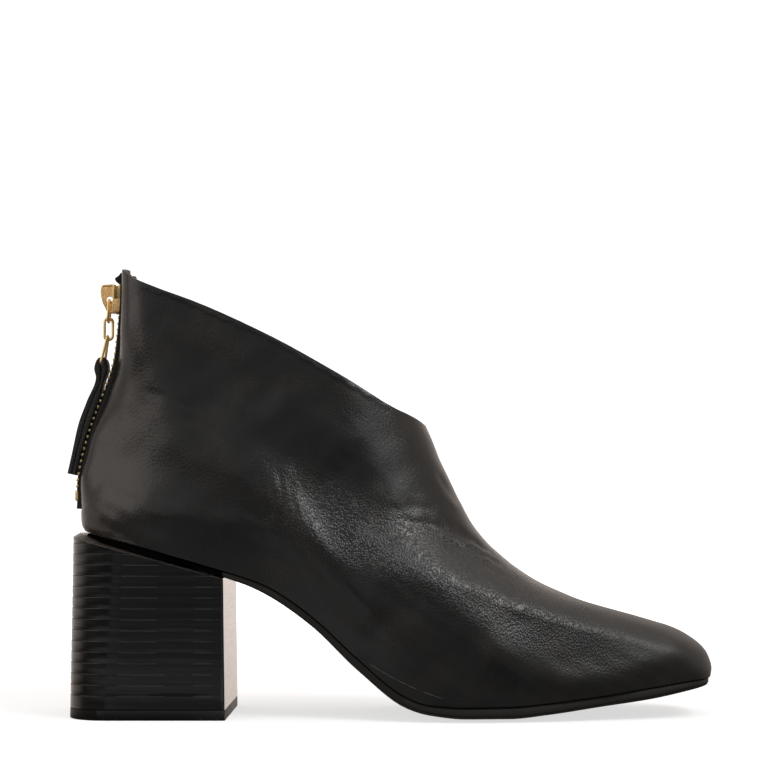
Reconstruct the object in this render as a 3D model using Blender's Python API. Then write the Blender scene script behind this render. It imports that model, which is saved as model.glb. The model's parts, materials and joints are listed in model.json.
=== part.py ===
"""A right ankle bootie with a slanted collar, a stacked block heel and a zip up the back.

X runs from the heel to the toe, Y from the outer to the inner side of the foot, Z up from the
floor. Tables and sizes are in millimetres. The origin is on the floor, under the middle.
"""

import math
from collections import namedtuple

import bmesh
import bpy
import numpy as np

MM = 0.001
OUTER, INNER = -1.0, 1.0

# Driving sizes
WALL = 1.8
GAP = 0.3
INSOLE_THICK = 2.2
INSOLE_CLEAR = 0.6
INSOLE_STATIONS = 30
OUTSOLE_INSET = 0.6
OUTSOLE_STATIONS = 38
SEAT_INSET = 1.4
SEAT_BLEND = 8.0
TREAD_FLAT_SHARE = 0.55
TREAD_EDGE_SHARES = (0.8, 0.93)
END_FLAT = 0.2
STATION_SPACE = 1.5
LINE_STEPS = 600

# Sole stations from the heel to the toe. feather is the height where the upper meets the sole,
# tread the underside on the middle line, roll the rise of the underside at the edge, and outer
# and inner the half widths of the last at the feather line.
Station = namedtuple("Station", "name x feather tread roll outer inner")
SOLE = (
    Station("heel_back", -115.6, 68.5, 66.6, 0.0, 26.5, 26.5),
    Station("heel_seat", -99.0, 64.7, 62.1, 0.0, 27.5, 27.0),
    Station("heel_front", -84.0, 60.8, 58.05, 0.0, 28.0, 26.5),
    Station("breast", -60.9, 54.1, 51.85, 0.0, 28.0, 25.5),
    Station("shank", -46.5, 49.4, 45.7, 0.8, 28.0, 24.0),
    Station("waist", -28.8, 38.1, 33.8, 1.0, 29.0, 23.5),
    Station("joint_back", -11.2, 22.3, 17.3, 1.2, 32.0, 26.0),
    Station("ball_back", 6.2, 9.0, 3.5, 1.9, 36.3, 31.0),
    Station("tread_back", 14.8, 6.2, 0.0, 2.2, 37.7, 33.8),
    Station("ball", 28.0, 5.4, 0.0, 2.2, 38.4, 37.0),
    Station("tread_front", 44.0, 5.7, 0.0, 2.2, 37.4, 38.5),
    Station("toes", 58.0, 6.8, 1.3, 2.2, 35.6, 38.2),
    Station("vamp", 78.0, 9.2, 4.0, 2.2, 31.6, 36.2),
    Station("toe_box", 97.0, 11.8, 6.5, 2.2, 27.0, 32.3),
    Station("toe_corner", 112.0, 13.8, 9.4, 2.2, 22.5, 28.0),
    Station("toe_tip", 121.2, 14.4, 11.3, 1.6, 20.0, 25.5),
)
HEEL_END, TOE_END = SOLE[0], SOLE[-1]
BREAST_X = next(row.x for row in SOLE if row.name == "breast")
KEPT_STATIONS = ("breast", "tread_back", "ball", "tread_front")

# Lines of the upper in its side view
Point = namedtuple("Point", "name x z")
BACK = (
    Point("seat", -115.6, 68.5),
    Point("tuck", -116.9, 71.5),
    Point("heel_curve", -117.3, 76.0),
    Point("counter", -115.9, 88.1),
    Point("counter_top", -112.3, 103.5),
    Point("nape", -108.3, 118.9),
    Point("ankle", -104.5, 138.2),
    Point("zip_top", -103.3, 157.6),
    Point("peak", -103.1, 168.1),
)
RIDGE = (
    Point("toe_tip", 121.2, 14.4),
    Point("toe_front", 121.8, 17.8),
    Point("toe_round", 120.6, 22.5),
    Point("toe_brow", 116.0, 27.8),
    Point("toe_top", 107.0, 32.6),
    Point("toes", 88.9, 38.0),
    Point("vamp", 70.7, 43.5),
    Point("cone_foot", 52.4, 52.4),
    Point("cone", 38.7, 63.3),
    Point("instep", 29.6, 75.9),
    Point("throat_foot", 20.6, 93.9),
    Point("throat", 16.4, 104.2),
    Point("collar_front", 14.3, 108.8),
)
COLLAR = (
    Point("peak", -103.1, 168.1),
    Point("peak_front", -100.6, 167.2),
    Point("dip", -96.2, 163.5),
    Point("back_slope", -88.4, 160.0),
    Point("quarter", -69.7, 152.9),
    Point("ankle", -42.6, 140.3),
    Point("front_slope", -15.9, 125.4),
    Point("corner", 2.0, 114.7),
    Point("corner_round", 10.6, 110.9),
    Point("collar_front", 14.3, 108.8),
)

# Girths of the upper by share of the sole's length: flare is the bulge over the feather line a
# little above the sole, the others are half widths at three heights.
Girth = namedtuple("Girth", "name share flare middle high collar")
GIRTHS = (
    Girth("heel", 0.00, 2.0, 28.0, 25.0, 23.0),
    Girth("quarter", 0.25, 2.2, 30.3, 27.0, 25.5),
    Girth("instep", 0.50, 1.8, 35.6, 29.0, 27.0),
    Girth("ball", 0.70, 1.6, 36.5, 29.3, 26.5),
    Girth("vamp", 0.85, 1.6, 33.8, 28.0, 25.5),
    Girth("toe", 1.00, 1.2, 30.0, 27.0, 25.0),
)
GIRTH_SHARES = (0.0, 0.15, 0.40, 0.70, 1.0)

# Rounding of the back and front ends of each loop by its share of the upper's height: the depth
# of the round, its squareness, and how far the front leans to the inner side.
Ends = namedtuple("Ends", "name share back_depth back_square front_depth front_square lean")
ENDS = (
    Ends("sole", 0.00, 32.0, 2.3, 17.0, 3.2, 3.0),
    Ends("toe_wall", 0.06, 36.0, 2.2, 19.0, 3.0, 3.0),
    Ends("toe_top", 0.15, 44.0, 2.1, 29.0, 2.5, 3.0),
    Ends("vamp", 0.30, 52.0, 2.0, 40.0, 2.2, 2.6),
    Ends("instep", 0.55, 40.0, 2.1, 56.0, 2.2, 1.6),
    Ends("throat", 0.80, 21.0, 2.5, 52.0, 2.2, 0.6),
    Ends("collar", 1.00, 16.0, 2.6, 42.0, 2.2, 0.0),
)

# Mesh of the upper: columns on each side, levels from the sole to the collar
COLUMNS = 26
LEVELS = 22
LEVEL_POWER = 1.25
ZIP_LEVEL = 3
SLIT_HALF = 7.0

# Heel block
HEEL_TOP_AT_BREAST = 51.5
HEEL_TOP_SLOPE = 0.27
HEEL_TOP = dict(z=70.0, back=-118.1, breast=-60.9, half=30.2, corner=18.0)
HEEL_FOOT = dict(z=0.0, back=-118.1, breast=-59.6, half=29.2, corner=15.0)
TOP_PIECE_THICK = 3.7
STACK_PITCH = 3.97
STACK_LINES = 15
FIRST_LIFT = 0.6
GROOVE_DEPTH = 0.35
GROOVE_HALF = 0.45
CORNER_STEPS = 7

# Zip: how far the teeth stand off the leather, by height
Proud = namedtuple("Proud", "name z rise")
ZIP_LINE = (
    Proud("stop", 79.0, 1.6),
    Proud("low", 88.0, 2.8),
    Proud("counter", 100.0, 3.2),
    Proud("nape", 112.0, 2.7),
    Proud("ankle", 122.0, 1.5),
    Proud("top", 134.0, 0.4),
    Proud("slider", 163.4, 0.0),
    Proud("tape_end", 165.2, 2.6),
    Proud("peak", 168.0, 2.4),
)
TAPE_HALF = 9.0
TAPE_THICK = 0.7
TAPE_CLEAR = 0.7
TAPE_RINGS = 22
TAPE_FOOT_CLEAR = 0.5
TAPE_TOP_CLEAR = 1.6
RIB_HALF = SLIT_HALF - 1.5
RIB_FOOT = 1.4
RIB_CHAMFER = 0.9
RIB_SHOULDER = 0.5
TOOTH_PITCH = 2.3
TOOTH_LENGTH = 1.4
TOOTH_SLOPE = 0.15
TOOTH_HALF_RISE = 0.65
TOOTH_ROOT = 0.75
TOOTH_HALF_WIDTH = 2.4
TEETH_FROM, TEETH_TO = 84.2, 151.7
STOP_FROM, STOP_TO = 79.9, 83.8
STOP_HALF_WIDTH = 2.8
STOP_RINGS = 4
STOP_PROUD = 0.15
STOP_CHAMFER = 0.55

# Slider and pull
SLIDER_PLATE = ((-110.2, 163.5), (-105.6, 163.7), (-104.6, 158.0), (-104.6, 152.3), (-108.2, 152.3),
                (-110.4, 156.6), (-111.2, 160.2), (-111.0, 162.7))
SLIDER_PLATE_HALF = 1.1
SLIDER_BODY_X = (-106.0, -102.8)
SLIDER_BODY_Z = (152.4, 163.2)
SLIDER_BODY_HALF = 4.3
PULL_AXIS = (-107.7, 157.4)
EYE_RADIUS = 1.25
EYE_LIFT = 0.3
EYE_SIDES = 16
WIRE = 0.55
LINK_BEND = 0.8
BEND_STEPS = 4
LINK_1_END = (-108.0, 149.0)
LINK_1_HALF = 2.25
LINK_2_TOP = (-107.95, 150.4)
LINK_2_END = (-107.9, 142.1)
LINK_2_HALF = 1.6
LINK_3_TOP = (-108.2, 143.5)
TAB_AXIS = (-110.1, 132.9)
LINK_3_TOP_HALF = 1.9
LINK_3_END_HALF = 4.45
TAB_HALF = 3.2
TAB_OUTLINE = ((-110.9, 135.1), (-112.4, 133.2), (-112.9, 130.8), (-112.2, 127.3), (-115.6, 118.1),
               (-118.7, 109.3), (-122.6, 90.6), (-119.9, 90.0), (-117.5, 101.5), (-114.9, 109.6),
               (-110.7, 120.4), (-109.3, 125.4), (-107.6, 131.4), (-108.2, 134.2), (-109.4, 135.2))
TAB_EYE = ((-110.9, 132.6), (-111.3, 131.2), (-110.8, 128.4), (-110.0, 127.4), (-109.3, 128.6),
           (-108.9, 131.2), (-109.3, 132.6))
TAB_EYE_RADIUS = WIRE + GAP
TAB_EYE_STEPS = 6


def smooth(at, knots, values):
    """A monotone cubic through the rows of a table, with no overshoot between them."""
    knots = np.asarray(knots, float)
    values = np.asarray(values, float)
    at = np.clip(np.asarray(at, float), knots[0], knots[-1])
    step = np.diff(knots).reshape((-1,) + (1,) * (values.ndim - 1))
    slope = np.diff(values, axis=0) / step
    before, after = slope[:-1], slope[1:]
    total = before + after
    rising = before * after > 0
    mean = np.where(rising, 2 * before * after / np.where(rising, total, 1.0), 0.0)
    tangent = np.concatenate([slope[:1], mean, slope[-1:]])
    low = np.clip(np.searchsorted(knots, at, side="right") - 1, 0, len(knots) - 2)
    width = knots[low + 1] - knots[low]
    u = (at - knots[low]) / width
    if values.ndim > 1:
        u = u[..., None]
        width = width[..., None]
    return (values[low] * (1 + 2 * u) * (1 - u) ** 2 + values[low + 1] * u * u * (3 - 2 * u)
            + width * u * (1 - u) * (tangent[low] * (1 - u) - tangent[low + 1] * u))


def column(rows, name):
    return [getattr(row, name) for row in rows]


def sole(x, name):
    """A column of the sole's table at any length."""
    return smooth(x, column(SOLE, "x"), column(SOLE, name))


class Line:
    """A curve through (x, z) points, read by its share of the length."""

    def __init__(self, points):
        points = np.asarray(points, float)
        chords = np.hypot(*np.diff(points, axis=0).T)
        knots = np.concatenate([[0.0], np.cumsum(chords)])
        self.path = smooth(np.linspace(0.0, knots[-1], LINE_STEPS), knots, points)
        run = np.concatenate([[0.0], np.cumsum(np.hypot(*np.diff(self.path, axis=0).T))])
        self.length = run[-1]
        self.shares = run / self.length

    def at(self, share):
        return np.stack([np.interp(share, self.shares, part) for part in self.path.T], axis=-1)

    def share_at_height(self, z):
        return np.interp(z, self.path[:, 1], self.shares)


FEATHER_LINE = Line([(row.x, row.feather) for row in SOLE])
BACK_LINE = Line([(row.x, row.z) for row in BACK])
RIDGE_LINE = Line([(row.x, row.z) for row in RIDGE])
COLLAR_LINE = Line([(row.x, row.z) for row in COLLAR])


def side_point(t, v):
    """Side view of the upper: t runs from the back to the front, v from the sole to the collar."""
    t = np.asarray(t, float)[..., None]
    v = np.asarray(v, float)[..., None]
    low, high = FEATHER_LINE.at(t[..., 0]), COLLAR_LINE.at(t[..., 0])
    back, front = BACK_LINE.at(v[..., 0]), RIDGE_LINE.at(v[..., 0])
    low_back, low_front = FEATHER_LINE.at(0.0), FEATHER_LINE.at(1.0)
    high_back, high_front = COLLAR_LINE.at(0.0), COLLAR_LINE.at(1.0)
    corners = ((1 - t) * ((1 - v) * low_back + v * high_back)
               + t * ((1 - v) * low_front + v * high_front))
    return (1 - v) * low + v * high + (1 - t) * back + t * front - corners


def end_round(distance, depth, square):
    """Share of the full width at a distance from a rounded end."""
    inside = 1.0 - np.clip(distance / depth, 0.0, 1.0)
    return (1.0 - inside ** square) ** (1.0 / square)


def loop_length(v):
    return (1 - v) * FEATHER_LINE.length + v * COLLAR_LINE.length


def ends_at(v, name):
    return smooth(v, column(ENDS, "share"), column(ENDS, name))


def body_width(t, v, side):
    """Half width of the last at one level, before its ends are rounded."""
    feather = sole(FEATHER_LINE.at(t)[..., 0], "outer" if side == OUTER else "inner")
    girth = [smooth(t, column(GIRTHS, "share"), column(GIRTHS, name))
             for name in ("flare", "middle", "high", "collar")]
    rows = np.stack([feather, feather + girth[0], girth[1], girth[2], girth[3]])
    return smooth(v, GIRTH_SHARES, rows)


def across(t, v, side):
    """Y of the upper's outer face on one side, for a row of shares t at one level v."""
    length = loop_length(v)
    back = end_round(length * t, ends_at(v, "back_depth"), ends_at(v, "back_square"))
    front = end_round(length * (1 - t), ends_at(v, "front_depth"), ends_at(v, "front_square"))
    lean = ends_at(v, "lean") * t ** 3
    return lean + side * (body_width(t, v, side) - side * lean) * back * front


def back_depth(y, v):
    """How far the upper's back has curved forward at a distance y from its middle."""
    width = body_width(np.zeros(1), v, OUTER)[0]
    depth, square = ends_at(v, "back_depth"), ends_at(v, "back_square")
    return depth * (1.0 - (1.0 - (abs(y) / width) ** square) ** (1.0 / square))


def column_shares(v):
    """Shares of one loop's columns: the back middle, the slit's edge, then even turns to the front."""
    slit = back_depth(SLIT_HALF, v) / loop_length(v)
    first = math.acos(1.0 - 2.0 * slit) / math.pi
    turn = first + (1.0 - first) * np.arange(COLUMNS) / (COLUMNS - 1)
    return np.concatenate([[0.0], (1.0 - np.cos(math.pi * turn)) / 2.0])


def upper_loop(v):
    """Points of one closed loop of the upper, from the back middle round the outer side."""
    t = column_shares(v)
    side_view = side_point(t, np.full(len(t), v))
    outer = np.stack([side_view[:, 0], across(t, v, OUTER), side_view[:, 1]], axis=1)
    inner = np.stack([side_view[:, 0], across(t, v, INNER), side_view[:, 1]], axis=1)
    return np.concatenate([outer, inner[-2:0:-1]])


def material(name, colour, roughness, metallic=0.0):
    made = bpy.data.materials.new(name)
    made.use_nodes = True
    shader = made.node_tree.nodes["Principled BSDF"]
    shader.inputs["Base Color"].default_value = (*colour, 1.0)
    shader.inputs["Roughness"].default_value = roughness
    shader.inputs["Metallic"].default_value = metallic
    return made


def add_object(name, mesh, finish):
    mesh.materials.append(finish)
    made = bpy.data.objects.new(name, mesh)
    bpy.context.scene.collection.objects.link(made)
    return made


def mesh_from(name, points, faces):
    """A mesh from millimetre points, with its faces turned outward."""
    mesh = bpy.data.meshes.new(name)
    mesh.from_pydata([tuple(np.asarray(point, float) * MM) for point in points], [], faces)
    work = bmesh.new()
    work.from_mesh(mesh)
    bmesh.ops.recalc_face_normals(work, faces=work.faces)
    work.to_mesh(mesh)
    work.free()
    return mesh


def shade(mesh, angle=35.0):
    mesh.shade_smooth()
    mesh.set_sharp_from_angle(angle=math.radians(angle))


def make_upper(leather):
    levels = (np.arange(LEVELS + 1) / LEVELS) ** LEVEL_POWER
    points = np.concatenate([upper_loop(v) for v in levels])
    around = 2 * COLUMNS
    faces = []
    for level in range(LEVELS):
        for k in range(around):
            after = (k + 1) % around
            beside_slit = k == 0 or after == 0
            if beside_slit and level >= ZIP_LEVEL:
                continue
            low, high = level * around, (level + 1) * around
            faces.append((low + k, low + after, high + after, high + k))
    mesh = bpy.data.meshes.new("upper")
    mesh.from_pydata([tuple(point * MM) for point in points], [], faces)
    work = bmesh.new()
    work.from_mesh(mesh)
    bmesh.ops.delete(work, geom=[v for v in work.verts if not v.link_faces], context="VERTS")
    work.to_mesh(mesh)
    work.free()
    shade(mesh)
    made = add_object("upper", mesh, leather)
    wall = made.modifiers.new("wall", "SOLIDIFY")
    wall.thickness = WALL * MM
    wall.offset = -1.0
    wall.use_even_offset = True
    wall.use_quality_normals = True
    return made


def edge_at(x, inset, side):
    """Y of the sole's outline at any length, drawn in by an inset."""
    length = loop_length(0.0)
    share = np.interp(x, FEATHER_LINE.path[:, 0], FEATHER_LINE.shares)
    back = end_round(np.maximum(length * share - inset, 0.0), ENDS[0].back_depth, ENDS[0].back_square)
    front = end_round(np.maximum(length * (1 - share) - inset, 0.0),
                      ENDS[0].front_depth, ENDS[0].front_square)
    lean = ENDS[0].lean * share ** 3
    half = sole(x, "outer" if side == OUTER else "inner") - inset
    return lean + side * (half - side * lean) * back * front


def make_plate(name, finish, stations, inset_at, top_at, bottom_at, shares):
    """A closed plate that follows the sole: rows across the foot at each station along it."""
    points = []
    count = len(shares)
    for x in stations:
        inset = inset_at(x)
        ends = edge_at(x, inset, OUTER), edge_at(x, inset, INNER)
        middle = (ends[0] + ends[1]) / 2.0
        for height_at in (top_at, bottom_at):
            for share in shares:
                y = middle + share * (ends[1] - ends[0]) / 2.0
                points.append((x, y, height_at(x, abs(share))))
    faces = []
    for row in range(len(stations) - 1):
        here, there = row * 2 * count, (row + 1) * 2 * count
        for layer in (0, count):
            for k in range(count - 1):
                a, b = here + layer + k, there + layer + k
                faces.append((a, a + 1, b + 1, b))
        for k in (0, count - 1):
            faces.append((here + k, there + k, there + count + k, here + count + k))
    for row in (0, len(stations) - 1):
        start = row * 2 * count
        for k in range(count - 1):
            faces.append((start + k, start + k + 1, start + count + k + 1, start + count + k))
    mesh = mesh_from(name, points, faces)
    shade(mesh)
    return add_object(name, mesh, finish)


def stations_between(first, last, count, keep=()):
    """Lengths that crowd towards both ends, with the given ones among them."""
    turn = np.linspace(0.0, math.pi, count)
    even = first + (last - first) * (1.0 - np.cos(turn)) / 2.0
    spread = [x for x in even if all(abs(x - kept) > STATION_SPACE for kept in keep)]
    return sorted(spread + list(keep))


def make_outsole(resin):
    def inset_at(x):
        into_seat = np.clip((BREAST_X - x) / SEAT_BLEND, 0.0, 1.0)
        return OUTSOLE_INSET + (SEAT_INSET - OUTSOLE_INSET) * into_seat

    def top_at(x, share):
        return sole(x, "feather") - GAP

    def bottom_at(x, share):
        beyond = max(share - TREAD_FLAT_SHARE, 0.0) / (1.0 - TREAD_FLAT_SHARE)
        return sole(x, "tread") + sole(x, "roll") * beyond ** 2

    first, last = HEEL_END.x + SEAT_INSET + END_FLAT, TOE_END.x - OUTSOLE_INSET - END_FLAT
    kept = [row.x for row in SOLE if row.name in KEPT_STATIONS]
    stations = stations_between(first, last, OUTSOLE_STATIONS, kept)
    half = (TREAD_FLAT_SHARE, *TREAD_EDGE_SHARES, 1.0)
    shares = (*(-share for share in half[::-1]), 0.0, *half)
    return make_plate("outsole", resin, stations, inset_at, top_at, bottom_at, shares)


def make_insole(lining):
    inset = WALL + INSOLE_CLEAR
    first, last = HEEL_END.x + inset + END_FLAT, TOE_END.x - inset - END_FLAT
    stations = stations_between(first, last, INSOLE_STATIONS)
    return make_plate("insole", lining, stations, lambda x: inset,
                      lambda x, share: sole(x, "feather") + INSOLE_THICK,
                      lambda x, share: sole(x, "feather"),
                      (-1.0, -0.6, 0.0, 0.6, 1.0))


def heel_ring(z, inset=0.0):
    """The heel's outline at one height: square at the breast, round at the back corners."""
    share = z / HEEL_TOP["z"]
    size = {key: HEEL_FOOT[key] + share * (HEEL_TOP[key] - HEEL_FOOT[key]) for key in HEEL_TOP}
    half, corner = size["half"] - inset, size["corner"]
    back = size["back"] + inset
    ring = [(size["breast"], -half)]
    for side in (OUTER, INNER):
        turns = np.linspace(0.0, math.pi / 2.0, CORNER_STEPS + 1)
        arc = [(back + corner * (1.0 - math.sin(turn)), side * (half - corner * (1.0 - math.cos(turn))))
               for turn in turns]
        ring.extend(arc if side == OUTER else arc[::-1])
    ring.append((size["breast"], half))
    return [(x, y, z) for x, y in ring]


def make_rings(name, finish, rings):
    """A closed solid through rings of the same number of points, flat at both ends."""
    count = len(rings[0])
    points = [point for ring in rings for point in ring]
    faces = [tuple(range(count)), tuple(range((len(rings) - 1) * count, len(rings) * count))]
    for row in range(len(rings) - 1):
        for k in range(count):
            after = (k + 1) % count
            here, there = row * count, (row + 1) * count
            faces.append((here + k, here + after, there + after, there + k))
    mesh = mesh_from(name, points, faces)
    shade(mesh)
    return add_object(name, mesh, finish)


def make_heel_block(lacquer):
    foot = TOP_PIECE_THICK + GAP
    rings = [heel_ring(foot)]
    for line in range(1, STACK_LINES + 1):
        z = foot + FIRST_LIFT + line * STACK_PITCH
        rings.append(heel_ring(z - GROOVE_HALF))
        rings.append(heel_ring(z, GROOVE_DEPTH))
        rings.append(heel_ring(z + GROOVE_HALF))
    rings.append(heel_ring(HEEL_TOP["z"]))
    made = make_rings("heel_block", lacquer, rings)
    work = bmesh.new()
    work.from_mesh(made.data)
    cut = bmesh.ops.bisect_plane(
        work, geom=work.verts[:] + work.edges[:] + work.faces[:], dist=1e-7,
        plane_co=(HEEL_TOP["breast"] * MM, 0.0, HEEL_TOP_AT_BREAST * MM),
        plane_no=(HEEL_TOP_SLOPE, 0.0, 1.0), clear_outer=True)
    rim = [edge for edge in cut["geom_cut"] if isinstance(edge, bmesh.types.BMEdge)]
    bmesh.ops.contextual_create(work, geom=rim)
    bmesh.ops.recalc_face_normals(work, faces=work.faces)
    work.to_mesh(made.data)
    work.free()
    return made


def make_heel_top_piece(rubber):
    return make_rings("heel_top_piece", rubber, [heel_ring(0.0), heel_ring(TOP_PIECE_THICK)])


def back_frame(z):
    """Place and outward direction on the back's middle line at a height."""
    share = float(BACK_LINE.share_at_height(z))
    step = 0.002
    place = BACK_LINE.at(share)
    run = BACK_LINE.at(min(share + step, 1.0)) - BACK_LINE.at(max(share - step, 0.0))
    run /= np.hypot(*run)
    return share, place, np.array([-run[1], run[0]])


def back_point(z, y, rise):
    """A point over the upper's back, at a height, a distance from its middle and a rise off it."""
    share, place, out = back_frame(z)
    x, height = place + out * (rise - back_depth(y, share))
    return (x, y, height)


def zip_rise(z):
    return float(smooth(z, column(ZIP_LINE, "z"), column(ZIP_LINE, "rise")))


def make_zip_tape(cloth):
    slit_foot = BACK_LINE.at((ZIP_LEVEL / LEVELS) ** LEVEL_POWER)[1]
    rings = []
    for z in np.linspace(slit_foot + TAPE_FOOT_CLEAR, BACK[-1].z - TAPE_TOP_CLEAR, TAPE_RINGS):
        outer = -(WALL + TAPE_CLEAR)
        inner = outer - TAPE_THICK
        rib = zip_rise(z) - TOOTH_HALF_RISE - GAP
        half = [(TAPE_HALF / 2, inner), (TAPE_HALF, inner), (TAPE_HALF, outer), (RIB_HALF + RIB_FOOT, outer),
                (RIB_HALF, outer), (RIB_HALF, rib - RIB_SHOULDER), (RIB_HALF - RIB_CHAMFER, rib)]
        section = [(0.0, inner), *half, *((-y, rise) for y, rise in half[::-1])]
        rings.append([back_point(z, y, rise) for y, rise in section])
    return make_rings("zip_tape", cloth, rings)


def make_zip_teeth(metal):
    count = int((TEETH_TO - TEETH_FROM) / TOOTH_PITCH)
    pitch = (TEETH_TO - TEETH_FROM) / count
    outer, root = [], []
    for tooth in range(count):
        foot = TEETH_FROM + tooth * pitch
        low, high = foot + (pitch - TOOTH_LENGTH) / 2.0, foot + (pitch + TOOTH_LENGTH) / 2.0
        for z, is_crest in ((low - TOOTH_SLOPE, False), (low + TOOTH_SLOPE, True),
                            (high - TOOTH_SLOPE, True), (high + TOOTH_SLOPE, False)):
            over_root = TOOTH_HALF_RISE if is_crest else TOOTH_ROOT - TOOTH_HALF_RISE
            outer.append((z, zip_rise(z) + over_root))
        root.append((foot + pitch / 2.0, zip_rise(foot + pitch / 2.0) - TOOTH_HALF_RISE))
    first = (TEETH_FROM, zip_rise(TEETH_FROM) - TOOTH_HALF_RISE)
    last = (TEETH_TO, zip_rise(TEETH_TO) - TOOTH_HALF_RISE)
    profile = [first, *outer, last, *root[::-1]]
    flat = []
    for z, rise in profile:
        x, _, height = back_point(z, 0.0, rise)
        flat.append((x, height))
    return make_extrusion("zip_teeth", metal, flat, TOOTH_HALF_WIDTH)


def make_zip_bottom_stop(metal):
    rings = []
    for z in np.linspace(STOP_FROM, STOP_TO, STOP_RINGS):
        low = zip_rise(z) - TOOTH_HALF_RISE
        high = zip_rise(z) + TOOTH_HALF_RISE + STOP_PROUD
        edge, flat = STOP_HALF_WIDTH, STOP_HALF_WIDTH - STOP_CHAMFER
        section = [(-edge, low), (edge, low), (edge, high - STOP_CHAMFER), (flat, high), (-flat, high),
                   (-edge, high - STOP_CHAMFER)]
        ring = []
        for y, rise in section:
            x, _, height = back_point(z, 0.0, rise)
            ring.append((x, y, height))
        rings.append(ring)
    return make_rings("zip_bottom_stop", metal, rings)


def make_extrusion(name, finish, outline, half, hole=()):
    """A flat outline in the side view, with an optional hole, made as thick as twice the half."""
    work = bmesh.new()
    edges = []
    for loop in (outline, hole):
        ring = [work.verts.new((x * MM, -half * MM, z * MM)) for x, z in loop]
        edges.extend(work.edges.new((a, b)) for a, b in zip(ring, ring[1:] + ring[:1]))
    filled = bmesh.ops.triangle_fill(work, edges=edges, use_beauty=True)
    faces = [face for face in filled["geom"] if isinstance(face, bmesh.types.BMFace)]
    raised = bmesh.ops.extrude_face_region(work, geom=faces)
    verts = [item for item in raised["geom"] if isinstance(item, bmesh.types.BMVert)]
    bmesh.ops.translate(work, verts=verts, vec=(0.0, 2.0 * half * MM, 0.0))
    bmesh.ops.recalc_face_normals(work, faces=work.faces)
    mesh = bpy.data.meshes.new(name)
    work.to_mesh(mesh)
    work.free()
    shade(mesh)
    return add_object(name, mesh, finish)


def arc(centre, radius, start, end, steps):
    turns = np.linspace(math.radians(start), math.radians(end), steps + 1)
    return [(centre[0] + radius * math.cos(turn), centre[1] + radius * math.sin(turn)) for turn in turns]


def hide_helper(helper):
    helper.hide_render = True
    helper.display_type = "WIRE"


def make_zip_slider(metal):
    last_turn = 360.0 - 360.0 / EYE_SIDES
    eye = arc((PULL_AXIS[0], PULL_AXIS[1] + EYE_LIFT), EYE_RADIUS, 0.0, last_turn, EYE_SIDES - 1)
    made = make_extrusion("zip_slider", metal, SLIDER_PLATE, SLIDER_PLATE_HALF, eye)
    low, high = SLIDER_BODY_X
    foot, top = SLIDER_BODY_Z
    block = ((low, foot), (high, foot), (high, top), (low, top))
    body = make_extrusion("slider_body_helper", metal, block, SLIDER_BODY_HALF)
    hide_helper(body)
    join = made.modifiers.new("body", "BOOLEAN")
    join.operation = "UNION"
    join.object = body
    return made


def make_wire(name, metal, points):
    """A closed wire of round section through a loop of points."""
    curve = bpy.data.curves.new(name, "CURVE")
    curve.dimensions = "3D"
    curve.bevel_depth = WIRE * MM
    curve.bevel_resolution = 1
    curve.use_fill_caps = False
    spline = curve.splines.new("POLY")
    spline.points.add(len(points) - 1)
    for place, point in zip(spline.points, points):
        place.co = (*(np.asarray(point) * MM), 1.0)
    spline.use_cyclic_u = True
    curve.materials.append(metal)
    made = bpy.data.objects.new(name, curve)
    bpy.context.scene.collection.objects.link(made)
    return made


def wire_loop(top, end, top_half, end_half, top_bend, end_bend, crosswise):
    """Points of a link from its top to its end, with a bend of its own at the corners of each."""
    top, end = np.asarray(top, float), np.asarray(end, float)
    length = np.hypot(*(end - top))
    down = (end - top) / length
    sideways = np.array([-down[1], down[0]])
    turns = np.linspace(0.0, math.pi / 2.0, BEND_STEPS + 1)
    right = [(top_half - top_bend * (1 - math.sin(turn)), top_bend * (1 - math.cos(turn))) for turn in turns]
    right += [(end_half - end_bend * (1 - math.cos(turn)), length - end_bend * (1 - math.sin(turn)))
              for turn in turns]
    left = [(-over, along) for over, along in right[::-1] if over > WIRE * 0.02]
    points = []
    for over, along in right + left:
        place = top + down * along
        if crosswise:
            points.append((place[0], over, place[1]))
        else:
            points.append((place[0] + sideways[0] * over, 0.0, place[1] + sideways[1] * over))
    return points


def make_pull_links(metal):
    narrow, ring, wide = LINK_1_HALF, LINK_2_HALF, LINK_3_END_HALF
    link_1 = wire_loop(PULL_AXIS, LINK_1_END, narrow, narrow, LINK_BEND, narrow, True)
    link_2 = wire_loop(LINK_2_TOP, LINK_2_END, ring, ring, ring, ring, False)
    link_3 = wire_loop(LINK_3_TOP, TAB_AXIS, LINK_3_TOP_HALF, wide, LINK_3_TOP_HALF, LINK_BEND, True)
    return [make_wire(f"pull_link_{number}", metal, points)
            for number, points in enumerate((link_1, link_2, link_3), 1)]


def make_pull_tab(leather):
    eye_top = arc(TAB_AXIS, TAB_EYE_RADIUS, 20.0, 160.0, TAB_EYE_STEPS)
    eye = [*eye_top, *TAB_EYE]
    return make_extrusion("pull_tab", leather, TAB_OUTLINE, TAB_HALF, eye)


def make_axis(name, place):
    """An empty on the axis of a joint that turns about Y."""
    made = bpy.data.objects.new(name, None)
    made.location = (place[0] * MM, 0.0, place[1] * MM)
    bpy.context.scene.collection.objects.link(made)
    return made


def hang(piece, axis, place):
    """Puts a piece that is drawn in its place under the empty it turns about."""
    piece.parent = axis
    piece.location = np.asarray(piece.location) - np.array([place[0] * MM, 0.0, place[1] * MM])


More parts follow.
